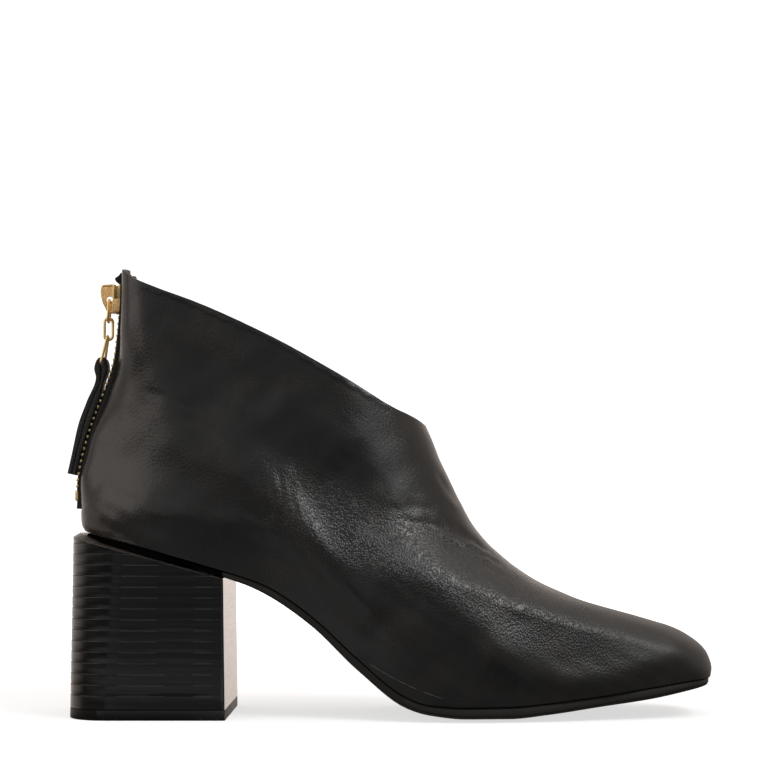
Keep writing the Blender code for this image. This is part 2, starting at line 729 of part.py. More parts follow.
def main():
    for old in list(bpy.data.objects):
        bpy.data.objects.remove(old, do_unlink=True)
    leather = material("black_leather", (0.012, 0.011, 0.010), 0.38)
    lining = material("insole_leather", (0.10, 0.075, 0.055), 0.65)
    resin = material("black_resin", (0.015, 0.014, 0.013), 0.5)
    lacquer = material("black_lacquer", (0.010, 0.010, 0.010), 0.18)
    rubber = material("black_rubber", (0.02, 0.02, 0.02), 0.6)
    cloth = material("black_tape", (0.012, 0.012, 0.012), 0.85)
    metal = material("gold_metal", (0.78, 0.52, 0.20), 0.25, 1.0)
    make_upper(leather)
    make_insole(lining)
    make_outsole(resin)
    make_heel_block(lacquer)
    make_heel_top_piece(rubber)
    make_zip_tape(cloth)
    make_zip_teeth(metal)
    make_zip_bottom_stop(metal)
    make_zip_slider(metal)
    pull_axis = make_axis("pull_axis", PULL_AXIS)
    tab_axis = make_axis("tab_axis", TAB_AXIS)
    hang(tab_axis, pull_axis, PULL_AXIS)
    for link in make_pull_links(metal):
        hang(link, pull_axis, PULL_AXIS)
    hang(make_pull_tab(leather), tab_axis, TAB_AXIS)


main()
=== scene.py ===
"""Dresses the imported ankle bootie: creased leather upper, stacked heel, back zip with its pull, and a studio.

X runs from the heel to the toe, Y from the outer to the inner side of the foot, Z up from the floor.
The tables are in millimetres where they say nothing else, and most of them repeat the part's own sizes.
The pieces are made in metres.
"""

import json
import math
from collections import namedtuple
from contextlib import contextmanager
from types import SimpleNamespace

import bmesh
import bpy
import numpy as np
from bpy.props import FloatProperty, FloatVectorProperty, IntProperty, PointerProperty
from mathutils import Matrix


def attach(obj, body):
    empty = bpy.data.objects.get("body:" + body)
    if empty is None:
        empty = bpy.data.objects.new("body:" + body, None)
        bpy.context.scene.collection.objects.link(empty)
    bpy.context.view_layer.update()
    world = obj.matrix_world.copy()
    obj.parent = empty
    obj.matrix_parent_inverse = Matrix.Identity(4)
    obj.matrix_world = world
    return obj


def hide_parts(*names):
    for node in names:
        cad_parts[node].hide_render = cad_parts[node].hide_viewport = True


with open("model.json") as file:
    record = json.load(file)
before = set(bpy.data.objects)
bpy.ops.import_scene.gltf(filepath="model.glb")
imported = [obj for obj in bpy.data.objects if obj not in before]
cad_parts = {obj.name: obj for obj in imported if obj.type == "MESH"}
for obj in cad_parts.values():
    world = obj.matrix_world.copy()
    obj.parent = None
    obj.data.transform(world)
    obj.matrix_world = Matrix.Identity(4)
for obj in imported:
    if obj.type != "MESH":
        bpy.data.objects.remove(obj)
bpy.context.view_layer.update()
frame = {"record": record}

bl_info = {
    "name": "Ankle bootie",
    "version": (1, 0, 0),
    "blender": (4, 5, 0),
    "location": "View3D > Sidebar > Bootie",
    "description": "Builds a dressed ankle bootie around its packed frame",
    "category": "Object",
}

MM = 0.001
OUTER, INNER = -1.0, 1.0

# Sole stations from the heel to the toe, with the half widths at the feather line
Station = namedtuple("Station", "name x feather tread roll outer inner")
SOLE = (
    Station("heel_back", -115.6, 68.5, 66.6, 0.0, 26.5, 26.5),
    Station("heel_seat", -99.0, 64.7, 62.1, 0.0, 27.5, 27.0),
    Station("heel_front", -84.0, 60.8, 58.05, 0.0, 28.0, 26.5),
    Station("breast", -60.9, 54.1, 51.85, 0.0, 28.0, 25.5),
    Station("shank", -46.5, 49.4, 45.7, 0.8, 28.0, 24.0),
    Station("waist", -28.8, 38.1, 33.8, 1.0, 29.0, 23.5),
    Station("joint_back", -11.2, 22.3, 17.3, 1.2, 32.0, 26.0),
    Station("ball_back", 6.2, 9.0, 4.0, 1.9, 36.3, 31.0),
    Station("tread_back", 14.8, 6.2, 1.35, 2.2, 37.7, 33.8),
    Station("ball", 28.0, 5.4, 0.0, 2.2, 38.4, 37.0),
    Station("tread_front", 44.0, 5.7, 0.0, 2.2, 37.4, 38.5),
    Station("toes", 58.0, 6.8, 1.3, 2.2, 35.6, 38.2),
    Station("vamp", 78.0, 9.2, 4.0, 2.2, 31.6, 36.2),
    Station("toe_box", 97.0, 11.8, 6.5, 2.2, 27.0, 32.3),
    Station("toe_corner", 112.0, 13.8, 9.4, 2.2, 22.5, 28.0),
    Station("toe_tip", 121.2, 14.4, 11.3, 1.6, 20.0, 25.5),
)
HEEL_END, TOE_END = SOLE[0], SOLE[-1]
BREAST_X = next(row.x for row in SOLE if row.name == "breast")
KEPT_STATIONS = ("breast", "tread_back", "ball", "tread_front")

# Lines of the upper in its side view
Point = namedtuple("Point", "name x z")
BACK = (
    Point("seat", -115.6, 68.5),
    Point("tuck", -116.9, 71.5),
    Point("heel_curve", -117.3, 76.0),
    Point("counter", -115.9, 88.1),
    Point("counter_top", -112.3, 103.5),
    Point("nape", -108.3, 118.9),
    Point("ankle", -104.5, 138.2),
    Point("zip_top", -103.3, 157.6),
    Point("peak", -103.1, 168.1),
)
RIDGE = (
    Point("toe_tip", 121.2, 14.4),
    Point("toe_front", 121.8, 17.8),
    Point("toe_round", 120.6, 22.5),
    Point("toe_brow", 116.0, 27.8),
    Point("toe_top", 107.0, 32.6),
    Point("toes", 88.9, 38.0),
    Point("vamp", 70.7, 43.5),
    Point("cone_foot", 52.4, 52.4),
    Point("cone", 38.7, 63.3),
    Point("instep", 29.6, 75.9),
    Point("throat_foot", 20.6, 93.9),
    Point("throat", 16.4, 104.2),
    Point("collar_front", 14.3, 108.8),
)
COLLAR = (
    Point("peak", -103.1, 168.1),
    Point("peak_front", -100.6, 167.2),
    Point("dip", -96.2, 163.5),
    Point("back_slope", -88.4, 160.0),
    Point("quarter", -69.7, 152.9),
    Point("ankle", -42.6, 140.3),
    Point("front_slope", -15.9, 125.4),
    Point("corner", 2.0, 114.7),
    Point("corner_round", 10.6, 110.9),
    Point("collar_front", 14.3, 108.8),
)

# Girths by share of the sole's length, and the rounding of each loop's ends by share of the height
Girth = namedtuple("Girth", "name share flare middle high collar")
GIRTHS = (
    Girth("heel", 0.00, 2.0, 28.0, 25.0, 23.0),
    Girth("quarter", 0.25, 2.2, 30.3, 27.0, 25.5),
    Girth("instep", 0.50, 1.8, 35.6, 29.0, 27.0),
    Girth("ball", 0.70, 1.6, 36.5, 29.3, 26.5),
    Girth("vamp", 0.85, 1.6, 33.8, 28.0, 25.5),
    Girth("toe", 1.00, 1.2, 30.0, 27.0, 25.0),
)
GIRTH_SHARES = (0.0, 0.15, 0.40, 0.70, 1.0)
Ends = namedtuple("Ends", "name share back_depth back_square front_depth front_square lean")
ENDS = (
    Ends("sole", 0.00, 32.0, 2.3, 17.0, 3.2, 3.0),
    Ends("toe_wall", 0.06, 36.0, 2.2, 19.0, 3.0, 3.0),
    Ends("toe_top", 0.15, 44.0, 2.1, 29.0, 2.5, 3.0),
    Ends("vamp", 0.30, 52.0, 2.0, 40.0, 2.2, 2.6),
    Ends("instep", 0.55, 40.0, 2.1, 56.0, 2.2, 1.6),
    Ends("throat", 0.80, 21.0, 2.5, 52.0, 2.2, 0.6),
    Ends("collar", 1.00, 16.0, 2.6, 42.0, 2.2, 0.0),
)

# Wall and slit. The slit starts at the third of the part's 22 levels, which crowd towards the sole.
WALL = 1.8
SLIT_HALF = 7.0
SLIT_LEVEL, PART_LEVELS, LEVEL_POWER = 3, 22, 1.25
SLIT_FOOT_SHARE = (SLIT_LEVEL / PART_LEVELS) ** LEVEL_POWER
LINE_STEPS = 600

# Mesh of the upper: columns on each side, levels under and beside the slit, and where columns crowd
COLUMNS = 172
SLIT_COLUMNS = 2
LEVELS_UNDER_SLIT = 13
LEVELS_BESIDE_SLIT = 90
LEVELS_AT_COLLAR = 10
COLLAR_SHARE = 0.96
SPREAD_SAMPLES = 20
SPREAD_END = 0.0004
SPREAD_EVEN = 1.2
SPREAD_WRINKLE = 4.0
WRINKLE_SHARE = 0.33
WRINKLE_SPAN = 0.05
EDGE_SEGMENTS = 3
EDGE_ANGLE = 60.0

# Creases of the leather in the side view. height is how far the leather stands out, width how far
# the crease reaches to each side, and inner and outer how much of it each side of the shoe shows.
Crease = namedtuple("Crease", "name height width inner path outer kind", defaults=(1.0, "bump"))
CREASES = (
    Crease("ankle_hollow", -0.55, 8.0, 0.8, ((-78, 140), (-51, 120), (-33, 105), (-17, 88))),
    Crease("shaft_flare", 0.50, 18.0, 1.0, ((-108, 169), (-97, 164), (-86, 158.5), (-70, 152))),
    Crease("quarter_swell", 0.40, 12.0, 0.8, ((-66, 114), (-52, 104), (-40, 94), (-30, 82))),
    Crease("throat_swell", 0.95, 10.0, 0.9, ((-46, 121), (-28, 106), (-13, 93))),
    Crease("side_ridge", 1.00, 7.0, 0.9,
           ((-10, 58.5), (10, 50), (21, 43.5), (30, 35.5), (39, 26), (50, 17.5), (64, 14.5), (80, 16),
            (92, 20.5), (104, 24), (116, 25.5))),
    Crease("quarter_ridge", 0.45, 3.8, 0.7,
           ((-115, 83), (-102, 80.5), (-88, 77), (-70, 74), (-52, 71), (-36, 66), (-24, 62))),
    Crease("heel_tuck", -1.00, 5.0, 0.7, ((-118, 71), (-104, 68.5), (-92, 65.5), (-80, 62.5))),
    Crease("throat_hollow", -0.70, 9.0, 0.8, ((-22, 95), (-10, 85), (2, 78))),
    Crease("shelf_hollow", -0.90, 7.0, 0.8, ((-14, 73), (-2, 73), (10, 71.5), (24, 68), (36, 62))),
    Crease("ball_hollow", -1.60, 12.0, 0.5, ((-10, 41), (8, 31), (24, 26), (38, 22))),
    Crease("toe_ridge", 0.50, 4.0, 0.9, ((48, 18.5), (64, 15), (80, 16), (92, 20), (106, 23.5))),
    Crease("counter_edge", 0.16, 3.5, 0.7, ((-101, 125), (-85, 118), (-70, 111), (-58, 105)), kind="step"),
    Crease("counter_fold", -0.14, 1.3, 0.0, ((-92, 121), (-80, 117), (-70, 113))),
    Crease("counter_fold_low", -0.10, 1.5, 0.6, ((-78, 112), (-66, 106), (-56, 98))),
    Crease("quarter_wrinkle_1", -0.20, 1.0, 0.5, ((-45.5, 91), (-44.3, 82), (-42.6, 72))),
    Crease("quarter_wrinkle_2", -0.28, 1.2, 0.6, ((-40.5, 93), (-38.8, 81), (-36.6, 70))),
    Crease("quarter_wrinkle_3", -0.24, 1.0, 0.4, ((-36.8, 90), (-35.2, 80), (-33.0, 71))),
    Crease("quarter_wrinkle_4", -0.18, 1.1, 0.6, ((-31.8, 88), (-30.9, 79), (-29.0, 70))),
    Crease("instep_crease_1", -0.55, 1.1, 0.9, ((2, 72.8), (15, 71.6), (25, 68.6), (34, 64), (43, 57))),
    Crease("instep_crease_2", -0.50, 1.0, 0.8, ((18, 74.5), (25, 71), (31, 67), (39, 61.5))),
    Crease("instep_crease_3", -0.50, 1.0, 0.9, ((20, 65.5), (27, 63.6), (34, 60.6), (44, 55))),
    Crease("instep_crease_4", -0.42, 1.0, 0.7, ((24, 61.5), (32, 58.8), (42, 53))),
    Crease("instep_crease_5", -0.22, 1.4, 0.8, ((-4, 77), (8, 77.5), (20, 78), (28, 75))),
    Crease("ridge_fold", -0.40, 1.3, 0.5, ((17.4, 91.5), (21, 86), (24, 82), (27.5, 78.5))),
    Crease("toe_break_1", -0.15, 2.6, 1.0, ((30, 40), (44, 46), (56, 50))),
    Crease("toe_break_2", -0.12, 2.4, 1.0, ((42, 33), (56, 40), (68, 44)), outer=0.9),
)

# Bead under the collar, and how creases taper, step and pass from side to side
BEAD_FROM, BEAD_DROP, BEAD_HEIGHT, BEAD_WIDTH = 2, 1.4, 0.18, 0.8
CREASE_TAPER = 0.22
LONGEST_TAPER = 12.0
STEP_REACH = 9.0
SIDE_BLEND = 16.0

# Waves by which a crease wanders off its path: turn by x, turn by z and start
CREASE_WANDER = 0.35
WANDER_WAVES = ((0.55, 0.8, 0.0), (-0.9, 0.31, 1.0))

# Slow unevenness: a weight, and for both sines of a product the turns by x, y and z and the start
SWELL_WAVES = (
    (1.0, (0.16, 0.0, 0.11, 0.6), (-0.07, 0.05, 0.19, 0.0)),
    (0.6, (0.29, 0.0, -0.21, 1.7), (0.0, 0.12, 0.23, 0.0)),
)

# How far the leather is turned in beside the slit, by height: below the ankle it is turned out
Fold = namedtuple("Fold", "name z depth")
SLIT_FOLD = (
    Fold("slit_foot", 78.0, 0.0),
    Fold("stop", 82.0, -0.8),
    Fold("low", 91.0, -2.3),
    Fold("counter", 102.0, -2.3),
    Fold("nape", 111.0, -1.2),
    Fold("ankle", 120.0, 0.2),
    Fold("ankle_top", 134.0, 1.3),
    Fold("shaft", 146.0, 1.8),
    Fold("slider", 157.0, 2.3),
    Fold("tape_end", 164.0, 2.6),
    Fold("peak", 168.2, 2.6),
)
FOLD_REACH = (1.0, 11.0)
FOLD_FRONT = -60.0

# Outsole and insole, and how much of a plate or a round its small edges take
GAP = 0.3
OUTSOLE_INSET, OUTSOLE_ROUND, OUTSOLE_LIP = 0.6, 0.5, 0.15
SEAT_INSET, SEAT_BLEND = 1.2, 8.0
TREAD_SHARE = 0.55
INSOLE_THICK, INSOLE_INSET, INSOLE_ROUND = 2.2, WALL + 0.6, 0.6
GROOVE_DEPTH, GROOVE_HALF, GROOVE_FROM_EDGE = 0.22, 0.5, 4.0
GROOVE_HALF_LIMIT, GROOVE_PLACE_LIMIT, GROOVE_SHARP = 0.1, 0.7, 0.6
OUTSOLE_STATIONS, INSOLE_STATIONS, STATION_SPACE = 150, 110, 0.6
OUTSOLE_POINTS, INSOLE_POINTS, OUTSOLE_ROUND_STEPS = 13, 11, 4
END_FLAT = 0.2
LEAST_HALF = 0.01
EDGE_LIMIT = 0.4
CORNER_CUT = 0.3

# Heel block and its top piece
HEEL_TOP_AT_BREAST = 51.5
HEEL_TOP_SLOPE = 0.27
HEEL_TOP = dict(z=70.0, back=-118.1, breast=-60.9, half=30.2, corner=18.0)
HEEL_FOOT = dict(z=0.0, back=-118.1, breast=-59.6, half=29.2, corner=15.0)
TOP_PIECE_THICK, TOP_PIECE_ROUND, TOP_PIECE_CHAMFER = 3.7, 0.35, 0.1
FOOT_DROP, FOOT_INSET = 0.2, 0.1
STACK_PITCH = 3.97
STACK_LINES = 15
FIRST_LIFT = 0.6
BREAST_CORNER = 0.8
BREAST_STEPS = 4
CORNER_STEPS = 18
FLAT_STEPS = 12

# One lift from its foot to its top: share of its height, and share of the ledge that it stands back
LIFT = ((0.0, 0.0), (0.03, 0.85), (0.06, 1.0), (0.2, 0.62), (0.36, 0.3), (0.6, 0.08), (0.92, 0.0),
        (0.985, 0.0))

# How sharp the lifts stand out along the heel: worn away where its back corner ends, and at the breast
Worn = namedtuple("Worn", "name x share")
LIFT_WEAR = (
    Worn("back", -118.1, 0.7),
    Worn("corner", -113.0, 1.0),
    Worn("corner_middle", -101.0, 1.0),
    Worn("corner_end", -95.0, 0.45),
    Worn("side", -90.0, 0.45),
    Worn("side_middle", -82.0, 0.85),
    Worn("side_front", -70.0, 0.85),
    Worn("breast", -62.5, 0.2),
)

# Rim of the heel behind the upper, where it rises towards the back, and the seat inside it: how far up
# its faces look, and how near to the cut a point counts as on it, in metres
RIM_WIDTH, RIM_RISE, RIM_ROUND = 2.5, 2.0, 0.3
RIM_FADE = (102.0, 118.0)
SEAT_FACING = 0.7
CUT_MERGE = 1e-7

# Zip: how far the teeth stand off the leather, by height
Proud = namedtuple("Proud", "name z rise")
ZIP_LINE = (
    Proud("stop", 79.0, 1.6),
    Proud("low", 88.0, 2.8),
    Proud("counter", 100.0, 3.2),
    Proud("nape", 112.0, 2.7),
    Proud("ankle", 122.0, 1.5),
    Proud("top", 134.0, 0.4),
    Proud("slider", 163.4, 0.0),
    Proud("tape_end", 165.0, 2.5),
    Proud("tape_fold", 166.2, 1.0),
    Proud("peak", 168.0, -0.3),
)

# Zip tape, its lip at the teeth and its flanges, which end below the collar
TAPE_HALF = 9.0
TAPE_THICK = 0.7
TAPE_CLEAR = 0.7
TAPE_RINGS = 90
TAPE_FOOT_CLEAR = 0.5
TAPE_TOP_CLEAR = 0.7
TAPE_LIP = 0.75
LIP_RISES = (120.0, 138.0)
RIB_HALF = SLIT_HALF - 1.5
FLANGE_ENDS = (162.5, 164.5)
FLANGE_END_HALF = RIB_HALF + 1.65
FLANGE_END_RISE = -1.0

# Half of the tape's section: shares of the flange's width, then corners of the flange beside the rib,
# of the rib under its top, between rib and cord, and of the cord that holds the teeth
FLANGE_SHARES = (0.25, 0.5, 0.75, 1.0)
FLANGE_CORNERS = ((1.2, 0.0), (0.3, 0.0), (0.0, 0.2))
RIB_CORNERS = ((0.0, -0.55), (-0.12, -0.25), (-0.45, -0.05), (-0.9, 0.0))
RIB_TOP = ((0.5 * RIB_HALF + 1.1, 0.05), (2.6, 0.0))
CORD = ((2.35, -0.55), (2.15, -0.05), (1.6, 0.22), (0.9, 0.22), (0.35, -0.05), (0.1, -0.35))

# Rows of teeth, and the stop under them with its chamfers
TOOTH_HALF_RISE = 0.65
TEETH_FROM, TEETH_TO = 84.2, 151.7
STOP_FROM, STOP_TO = 79.9, 83.8
STOP_HALF, STOP_PROUD, STOP_RINGS = 2.8, 0.15, 9
STOP_CHAMFER, STOP_FOOT, STOP_ROUND, STOP_END = 0.55, 0.3, 0.2, 0.25

# One tooth across the zip: distance past the zip's middle, half length along the zip, and the lowest
# and highest rise over the zip's line
ToothSection = namedtuple("ToothSection", "name y half low high")
TOOTH = (
    ToothSection("outer_end", -2.42, 0.28, -0.30, 0.28),
    ToothSection("outer_round", -2.25, 0.52, -0.56, 0.52),
    ToothSection("root", -1.80, 0.62, -0.62, 0.62),
    ToothSection("waist", -0.75, 0.58, -0.58, 0.60),
    ToothSection("neck", 0.05, 0.42, -0.45, 0.52),
    ToothSection("head", 0.55, 0.56, -0.45, 0.46),
    ToothSection("tip", 0.85, 0.30, -0.22, 0.20),
)

# Eight corners of each of a tooth's sections: shares of its half length and of half its rise
OCTAGON = ((1, 0.45), (0.5, 1), (-0.5, 1), (-1, 0.45), (-1, -0.45), (-0.5, -1), (0.5, -1), (1, -0.45))

# Slider: its plate in the side view, the plate's rim and bed, and the blocks of the body
SLIDER_PLATE = ((-110.2, 163.5), (-105.6, 163.7), (-104.6, 158.0), (-104.6, 152.3), (-108.2, 152.3),
                (-110.4, 156.6), (-111.2, 160.2), (-111.0, 162.7))
SLIDER_PLATE_HALF = 1.1
SLIDER_CORNER, SLIDER_CORNER_STEPS, SLIDER_RIM = 0.9, 6, 0.8
ARM_LIMIT = 0.45
BED_DROP, BED_INSET = 0.32, 0.3
SLIDER_BODY_X = (-106.0, -102.8)
SLIDER_BODY_Z = (152.4, 163.2)
SLIDER_BODY_HALF = 4.3
FRONT_PLATE, BACK_PLATE, BACK_PLATE_TALL = 0.95, 0.8, 2.0
CHEEK_FROM, CHEEK_THICK, CHEEK_TALL = 0.5, 0.8, 5.2
POST_HALF, POST_FOOT, POST_DROP = 1.5, 4.4, 0.2
PLATE_EDGE, CHEEK_EDGE, BLOCK_SEGMENTS = 0.3, 0.25, 3

# Pull: the slider's eye that it hangs on, and its three links from their tops to their ends
PULL_AXIS = (-107.7, 157.4)
EYE_RADIUS = 1.25
EYE_CLEAR = 0.1
EYE_LIFT = 0.3
EYE_POINTS, EYE_COLLAR_POINTS, EYE_COLLAR_WIDTH = 32, 36, 0.5
EYE_COLLAR = ((0.0, -0.85), (0.1, -0.95), (0.35, -0.95), (0.5, -0.75),
              (0.5, 0.75), (0.35, 0.95), (0.1, 0.95), (0.0, 0.85))
LINK_BEND = 0.8
BEND_STEPS = 10
ON_AXIS = 0.01
WIRE_SIDES = 16
LINK_1_END = (-108.0, 149.0)
LINK_1_HALF = 2.25
LINK_2_TOP = (-107.95, 150.4)
LINK_2_END = (-107.9, 142.1)
LINK_2_HALF = 1.6
LINK_3_TOP = (-108.2, 143.5)
TAB_AXIS = (-110.1, 132.9)
LINK_3_TOP_HALF = 1.9
LINK_3_END_HALF = 4.45
TAB_HALF = 3.2
STRAP_RINGS = 120

# The strap of the pull from one end, over the strap ring, to the other: its outer and inner faces
Strap = namedtuple("Strap", "name outer_x outer_z inner_x inner_z")
STRAP = (
    Strap("near_end", -122.60, 90.60, -121.05, 90.24),
    Strap("near_low", -121.00, 98.20, -119.32, 97.76),
    Strap("near_middle", -118.70, 109.30, -116.46, 109.42),
    Strap("near_high", -115.60, 118.10, -113.20, 119.10),
    Strap("near_neck", -112.20, 127.30, -110.36, 126.90),
    Strap("near_swell", -112.90, 130.80, -110.30, 131.80),
    Strap("near_top", -112.40, 133.20, -110.92, 132.90),
    Strap("crown_near", -110.90, 135.10, -110.42, 133.72),
    Strap("crown_far", -109.40, 135.20, -109.80, 133.72),
    Strap("far_top", -108.20, 134.20, -109.30, 133.05),
    Strap("far_swell", -107.60, 131.40, -109.90, 131.90),
    Strap("far_neck", -109.30, 125.40, -110.24, 126.80),
    Strap("far_high", -110.55, 120.20, -113.08, 119.06),
    Strap("far_middle", -114.15, 109.60, -116.34, 109.40),
    Strap("far_low", -117.65, 98.00, -119.20, 97.72),
    Strap("far_end", -119.40, 89.90, -120.93, 90.21),
)

# Camera, fitted to the photograph's outline: pitched by how far the horizon lies under the middle of
# the picture, for a focal length in the same pixels
CAMERA_PLACE = (-1.75, -690.0, 70.0)
HORIZON_DROP, FOCAL_LENGTH = 144.0, 1805.0
CAMERA_PITCH = math.degrees(math.atan2(HORIZON_DROP, FOCAL_LENGTH))
CAMERA_LENS = 84.33
CAMERA_CLIP = 10.0

# Lights in metres: place, aim, width and height, and whether the light has the warm tint
Lamp = namedtuple("Lamp", "name place aim size warm")
SHOE_MIDDLE = (0.0, 0.0, 0.05)
LAMPS = (
    Lamp("softbox", (0.05, -0.15, 1.05), (0.05, -0.149, 0.0), (1.6, 1.5), False),
    Lamp("key", (0.55, -0.49, 0.79), SHOE_MIDDLE, (0.50, 0.42), False),
    Lamp("fill", (0.60, -0.715, 0.41), SHOE_MIDDLE, (0.43, 0.175), False),
    Lamp("left_light", (-1.0, -0.42, 0.47), SHOE_MIDDLE, (1.0, 0.7), True),
    Lamp("card", (-0.115, -0.1, 0.004), (-0.115, -0.099, 1.0), (0.17, 0.09), False),
)
WHITE = (1.0, 1.0, 1.0)

# Paper floor in metres: its reach, size and depth of its clouds, and where its glow grows outward
FLOOR_REACH = 3.0
PAPER_CLOUD, PAPER_SHADE = 0.2, 0.97
GLOW_GROWS, GLOW_FAR = (0.25, 0.8), (1.9, 1.9, 1.9)

# Ramps: a value, its range, and what the range is mapped to, from 0 to 1 where a row does not say
Ramp = namedtuple("Ramp", "name value low high to_low to_high", defaults=(0.0, 1.0))

# The sky by direction, as the gloss mirrors it: x towards the toe, y away from the camera, z up
SKY = (
    Ramp("notch_foot", "z", -0.20, -0.16),
    Ramp("notch_top", "z", -0.02, 0.02, 1.0, 0.0),
    Ramp("notch_side", "x", -0.30, -0.17, 0.9, 0.0),
    Ramp("heel_glow", "x", -0.30, -0.03, 0.36, 0.0),
    Ramp("above_foot", "z", -0.01, 0.05),
    Ramp("above_top", "z", 0.05, 0.35, 1.0, 0.4),
    Ramp("below_top", "z", -0.21, -0.16, 1.0, 0.0),
    Ramp("below_foot", "z", -0.60, -0.20, 0.4, 0.75),
    Ramp("toe_glow", "x", 0.0, 0.35, 0.0, 0.15),
    Ramp("toe_glow_top", "z", -0.20, 0.10, 1.0, 0.0),
    Ramp("low_foot", "z", -0.18, -0.15),
    Ramp("low_top", "z", -0.06, -0.03, 1.0, 0.0),
    Ramp("low_glow", "x", -0.20, -0.16, 0.0, 0.08),
    Ramp("strip_back", "x", -0.23, -0.20, 0.0, 0.25),
    Ramp("strip_front", "x", -0.165, -0.15, 1.0, 0.0),
    Ramp("behind_top", "z", 0.20, 0.70, 1.0, 0.4),
    Ramp("gap_top", "z", -0.02, 0.06, 1.0, 0.0),
    Ramp("gap_side", "y", -0.30, 0.30, 0.8, 0.0),
    Ramp("side_foot", "z", -0.03, 0.03),
    Ramp("side_back", "x", -0.90, -0.40, 0.55, 0.0),
    Ramp("throat_top", "slant", -0.06, 0.06, 0.32, 0.0),
    Ramp("throat_back", "x", 0.02, 0.25),
    Ramp("turned", "y", -1.0, 0.20),
)

# Slope of the shade at the throat, heights over which both halves of the sky grow light, how light each
# is below, and the white that the camera sees
THROAT_SLOPE = 0.62
FRONT_LOW, FRONT_HIGH, FRONT_DUSK = (-0.4, 0.35), (0.2, 0.6), 0.04
BEHIND_LOW, BEHIND_DUSK = (-0.3, 0.0), 0.12
BACKDROP = 1.2

# Marks on the upper's leather in millimetres: a band of grain on a slant over the instep, a smooth
# toe, and a painted highlight line above the sole at the outer ball, where the leather turns under
LEATHER_MARKS = (
    Ramp("band_foot", "slant", 42, 54, 0.0, 0.65),
    Ramp("band_top", "slant", 70, 86, 1.0, 0.0),
    Ramp("band_back", "x", -60, -25, 0.1, 1.0),
    Ramp("throat_grain", "slant", 96, 106, 0.0, 0.06),
    Ramp("toe_grain", "x", 72, 104, 1.0, 0.25),
    Ramp("toe_matt", "x", 45, 85, 0.0, 0.18),
    Ramp("rub_width", "off_line", 0.04, 0.18, 1.0, 0.0),
    Ramp("rub_back", "x", -8, -5),
    Ramp("rub_front", "x", 16, 21, 1.0, 0.0),
    Ramp("rub_outer", "y", -20, -15, 1.0, 0.0),
)
BAND_SLOPE = 0.43
LEAST_GRAIN = 0.24

# The painted highlight line in the side view: its height at the middle, its fall towards the toe and its
# bend for each metre, and how the leather's drift breaks it
HIGHLIGHT_LINE_HEIGHT, HIGHLIGHT_LINE_SLOPE, HIGHLIGHT_LINE_BEND = 16.8, 0.53, 6.3
HIGHLIGHT_LINE_BREAKS = (0.42, 0.54, 0.1, 1.0)

# Marks on the heel's lacquer in millimetres: its smooth breast, and the painted highlight along its top edge,
# which fades towards the front
HEEL_MARKS = (
    Ramp("breast", "x", -61.3, -60.9),
    Ramp("top_edge", "slant", 34.5, 34.8),
    Ramp("edge_wear", "x", -100, -85, 1.0, 0.4),
)

# Sizes of the finishes' patterns in millimetres
LEATHER_CLOUD, LACQUER_STREAK, LACQUER_GRAIN = 22, 7, 2.2
GOLD_WEAR, GOLD_FINE, GOLD_GRAINS = 1.6, 0.25, 0.5
WARP_SPACE, WEFT_SPACE, TAPE_FUZZ = 0.9, 0.7, 0.3
SOLE_TEXTURE, HEEL_TEXTURE, SCUFF = 0.7, 0.9, 9

# Scale of a wave texture with its bands about one unit apart
WAVE_SCALE = 0.32


def record_colour(slot):
    """Base colour of one of the record's finishes."""
    return tuple(next(row["base_color"] for row in frame["record"]["materials"] if row["slot"] == slot)[:3])


def colour_property(name, description, default):
    return FloatVectorProperty(name=name, description=description, default=default, subtype="COLOR",
                               size=3, min=0.0, max=1.0)


def length_property(name, description, default):
    return FloatProperty(name=name, description=description, default=default, unit="LENGTH", min=0.0)


def power_property(name, description, default):
    return FloatProperty(name=name, description=description, default=default, unit="POWER", min=0.0)


def level_property(name, description, default):
    return FloatProperty(name=name, description=description, default=default, min=0.0)


class BootieFinishes(bpy.types.PropertyGroup):
    """Colours of the bootie's finishes."""

    leather: colour_property("Leather", "Dye of the upper and the pull tab", (0.0080, 0.0078, 0.0075))
    leather_worn: colour_property("Leather, pulled", "Where the dye is pulled thin", (0.0150, 0.0132, 0.0120))
    # Colour of a painted highlight: a thin light line on the leather above the sole at the outer ball
    painted_highlight: colour_property("Leather, rubbed", "Rubbed line above the sole at the ball", (0.12, 0.115, 0.11))
    lining: colour_property("Lining", "Leather inside the upper", (0.13, 0.095, 0.068))
    insole: colour_property("Insole", "Leather of the footbed", record_colour("insole_leather"))
    sole: colour_property("Sole", "Resin of the outsole", record_colour("black_resin"))
    lacquer: colour_property("Heel lacquer", "Stain under the heel's lacquer", record_colour("black_lacquer"))
    stain: colour_property("Heel stain", "Stain in the heel's lifts", (0.0026, 0.0022, 0.0021))
    # Colour of the painted highlight along the top of each lift and along the heel's top rim
    lift_edge_highlight: colour_property("Lift edge", "Rubbed edge of each heel lift", (0.036, 0.031, 0.027))
    rubber: colour_property("Top piece", "Rubber under the heel", record_colour("black_rubber"))
    tape: colour_property("Zip tape", "Cloth of the zip", record_colour("black_tape"))
    gold: colour_property("Gold", "Plating of the zip and its pull", (1.00, 0.77, 0.38))
    # Deeper gold: random wear on plain plating, and painted shade in the hollows of the slider's granular bed
    gold_deep: colour_property("Gold, deep", "Plating where it is worn or shaded", (0.98, 0.60, 0.24))
    grain: length_property("Grain", "Size of one cell of the leather's grain", 0.0008)
    grain_height: length_property("Grain height", "Relief of the leather's grain", 0.00014)


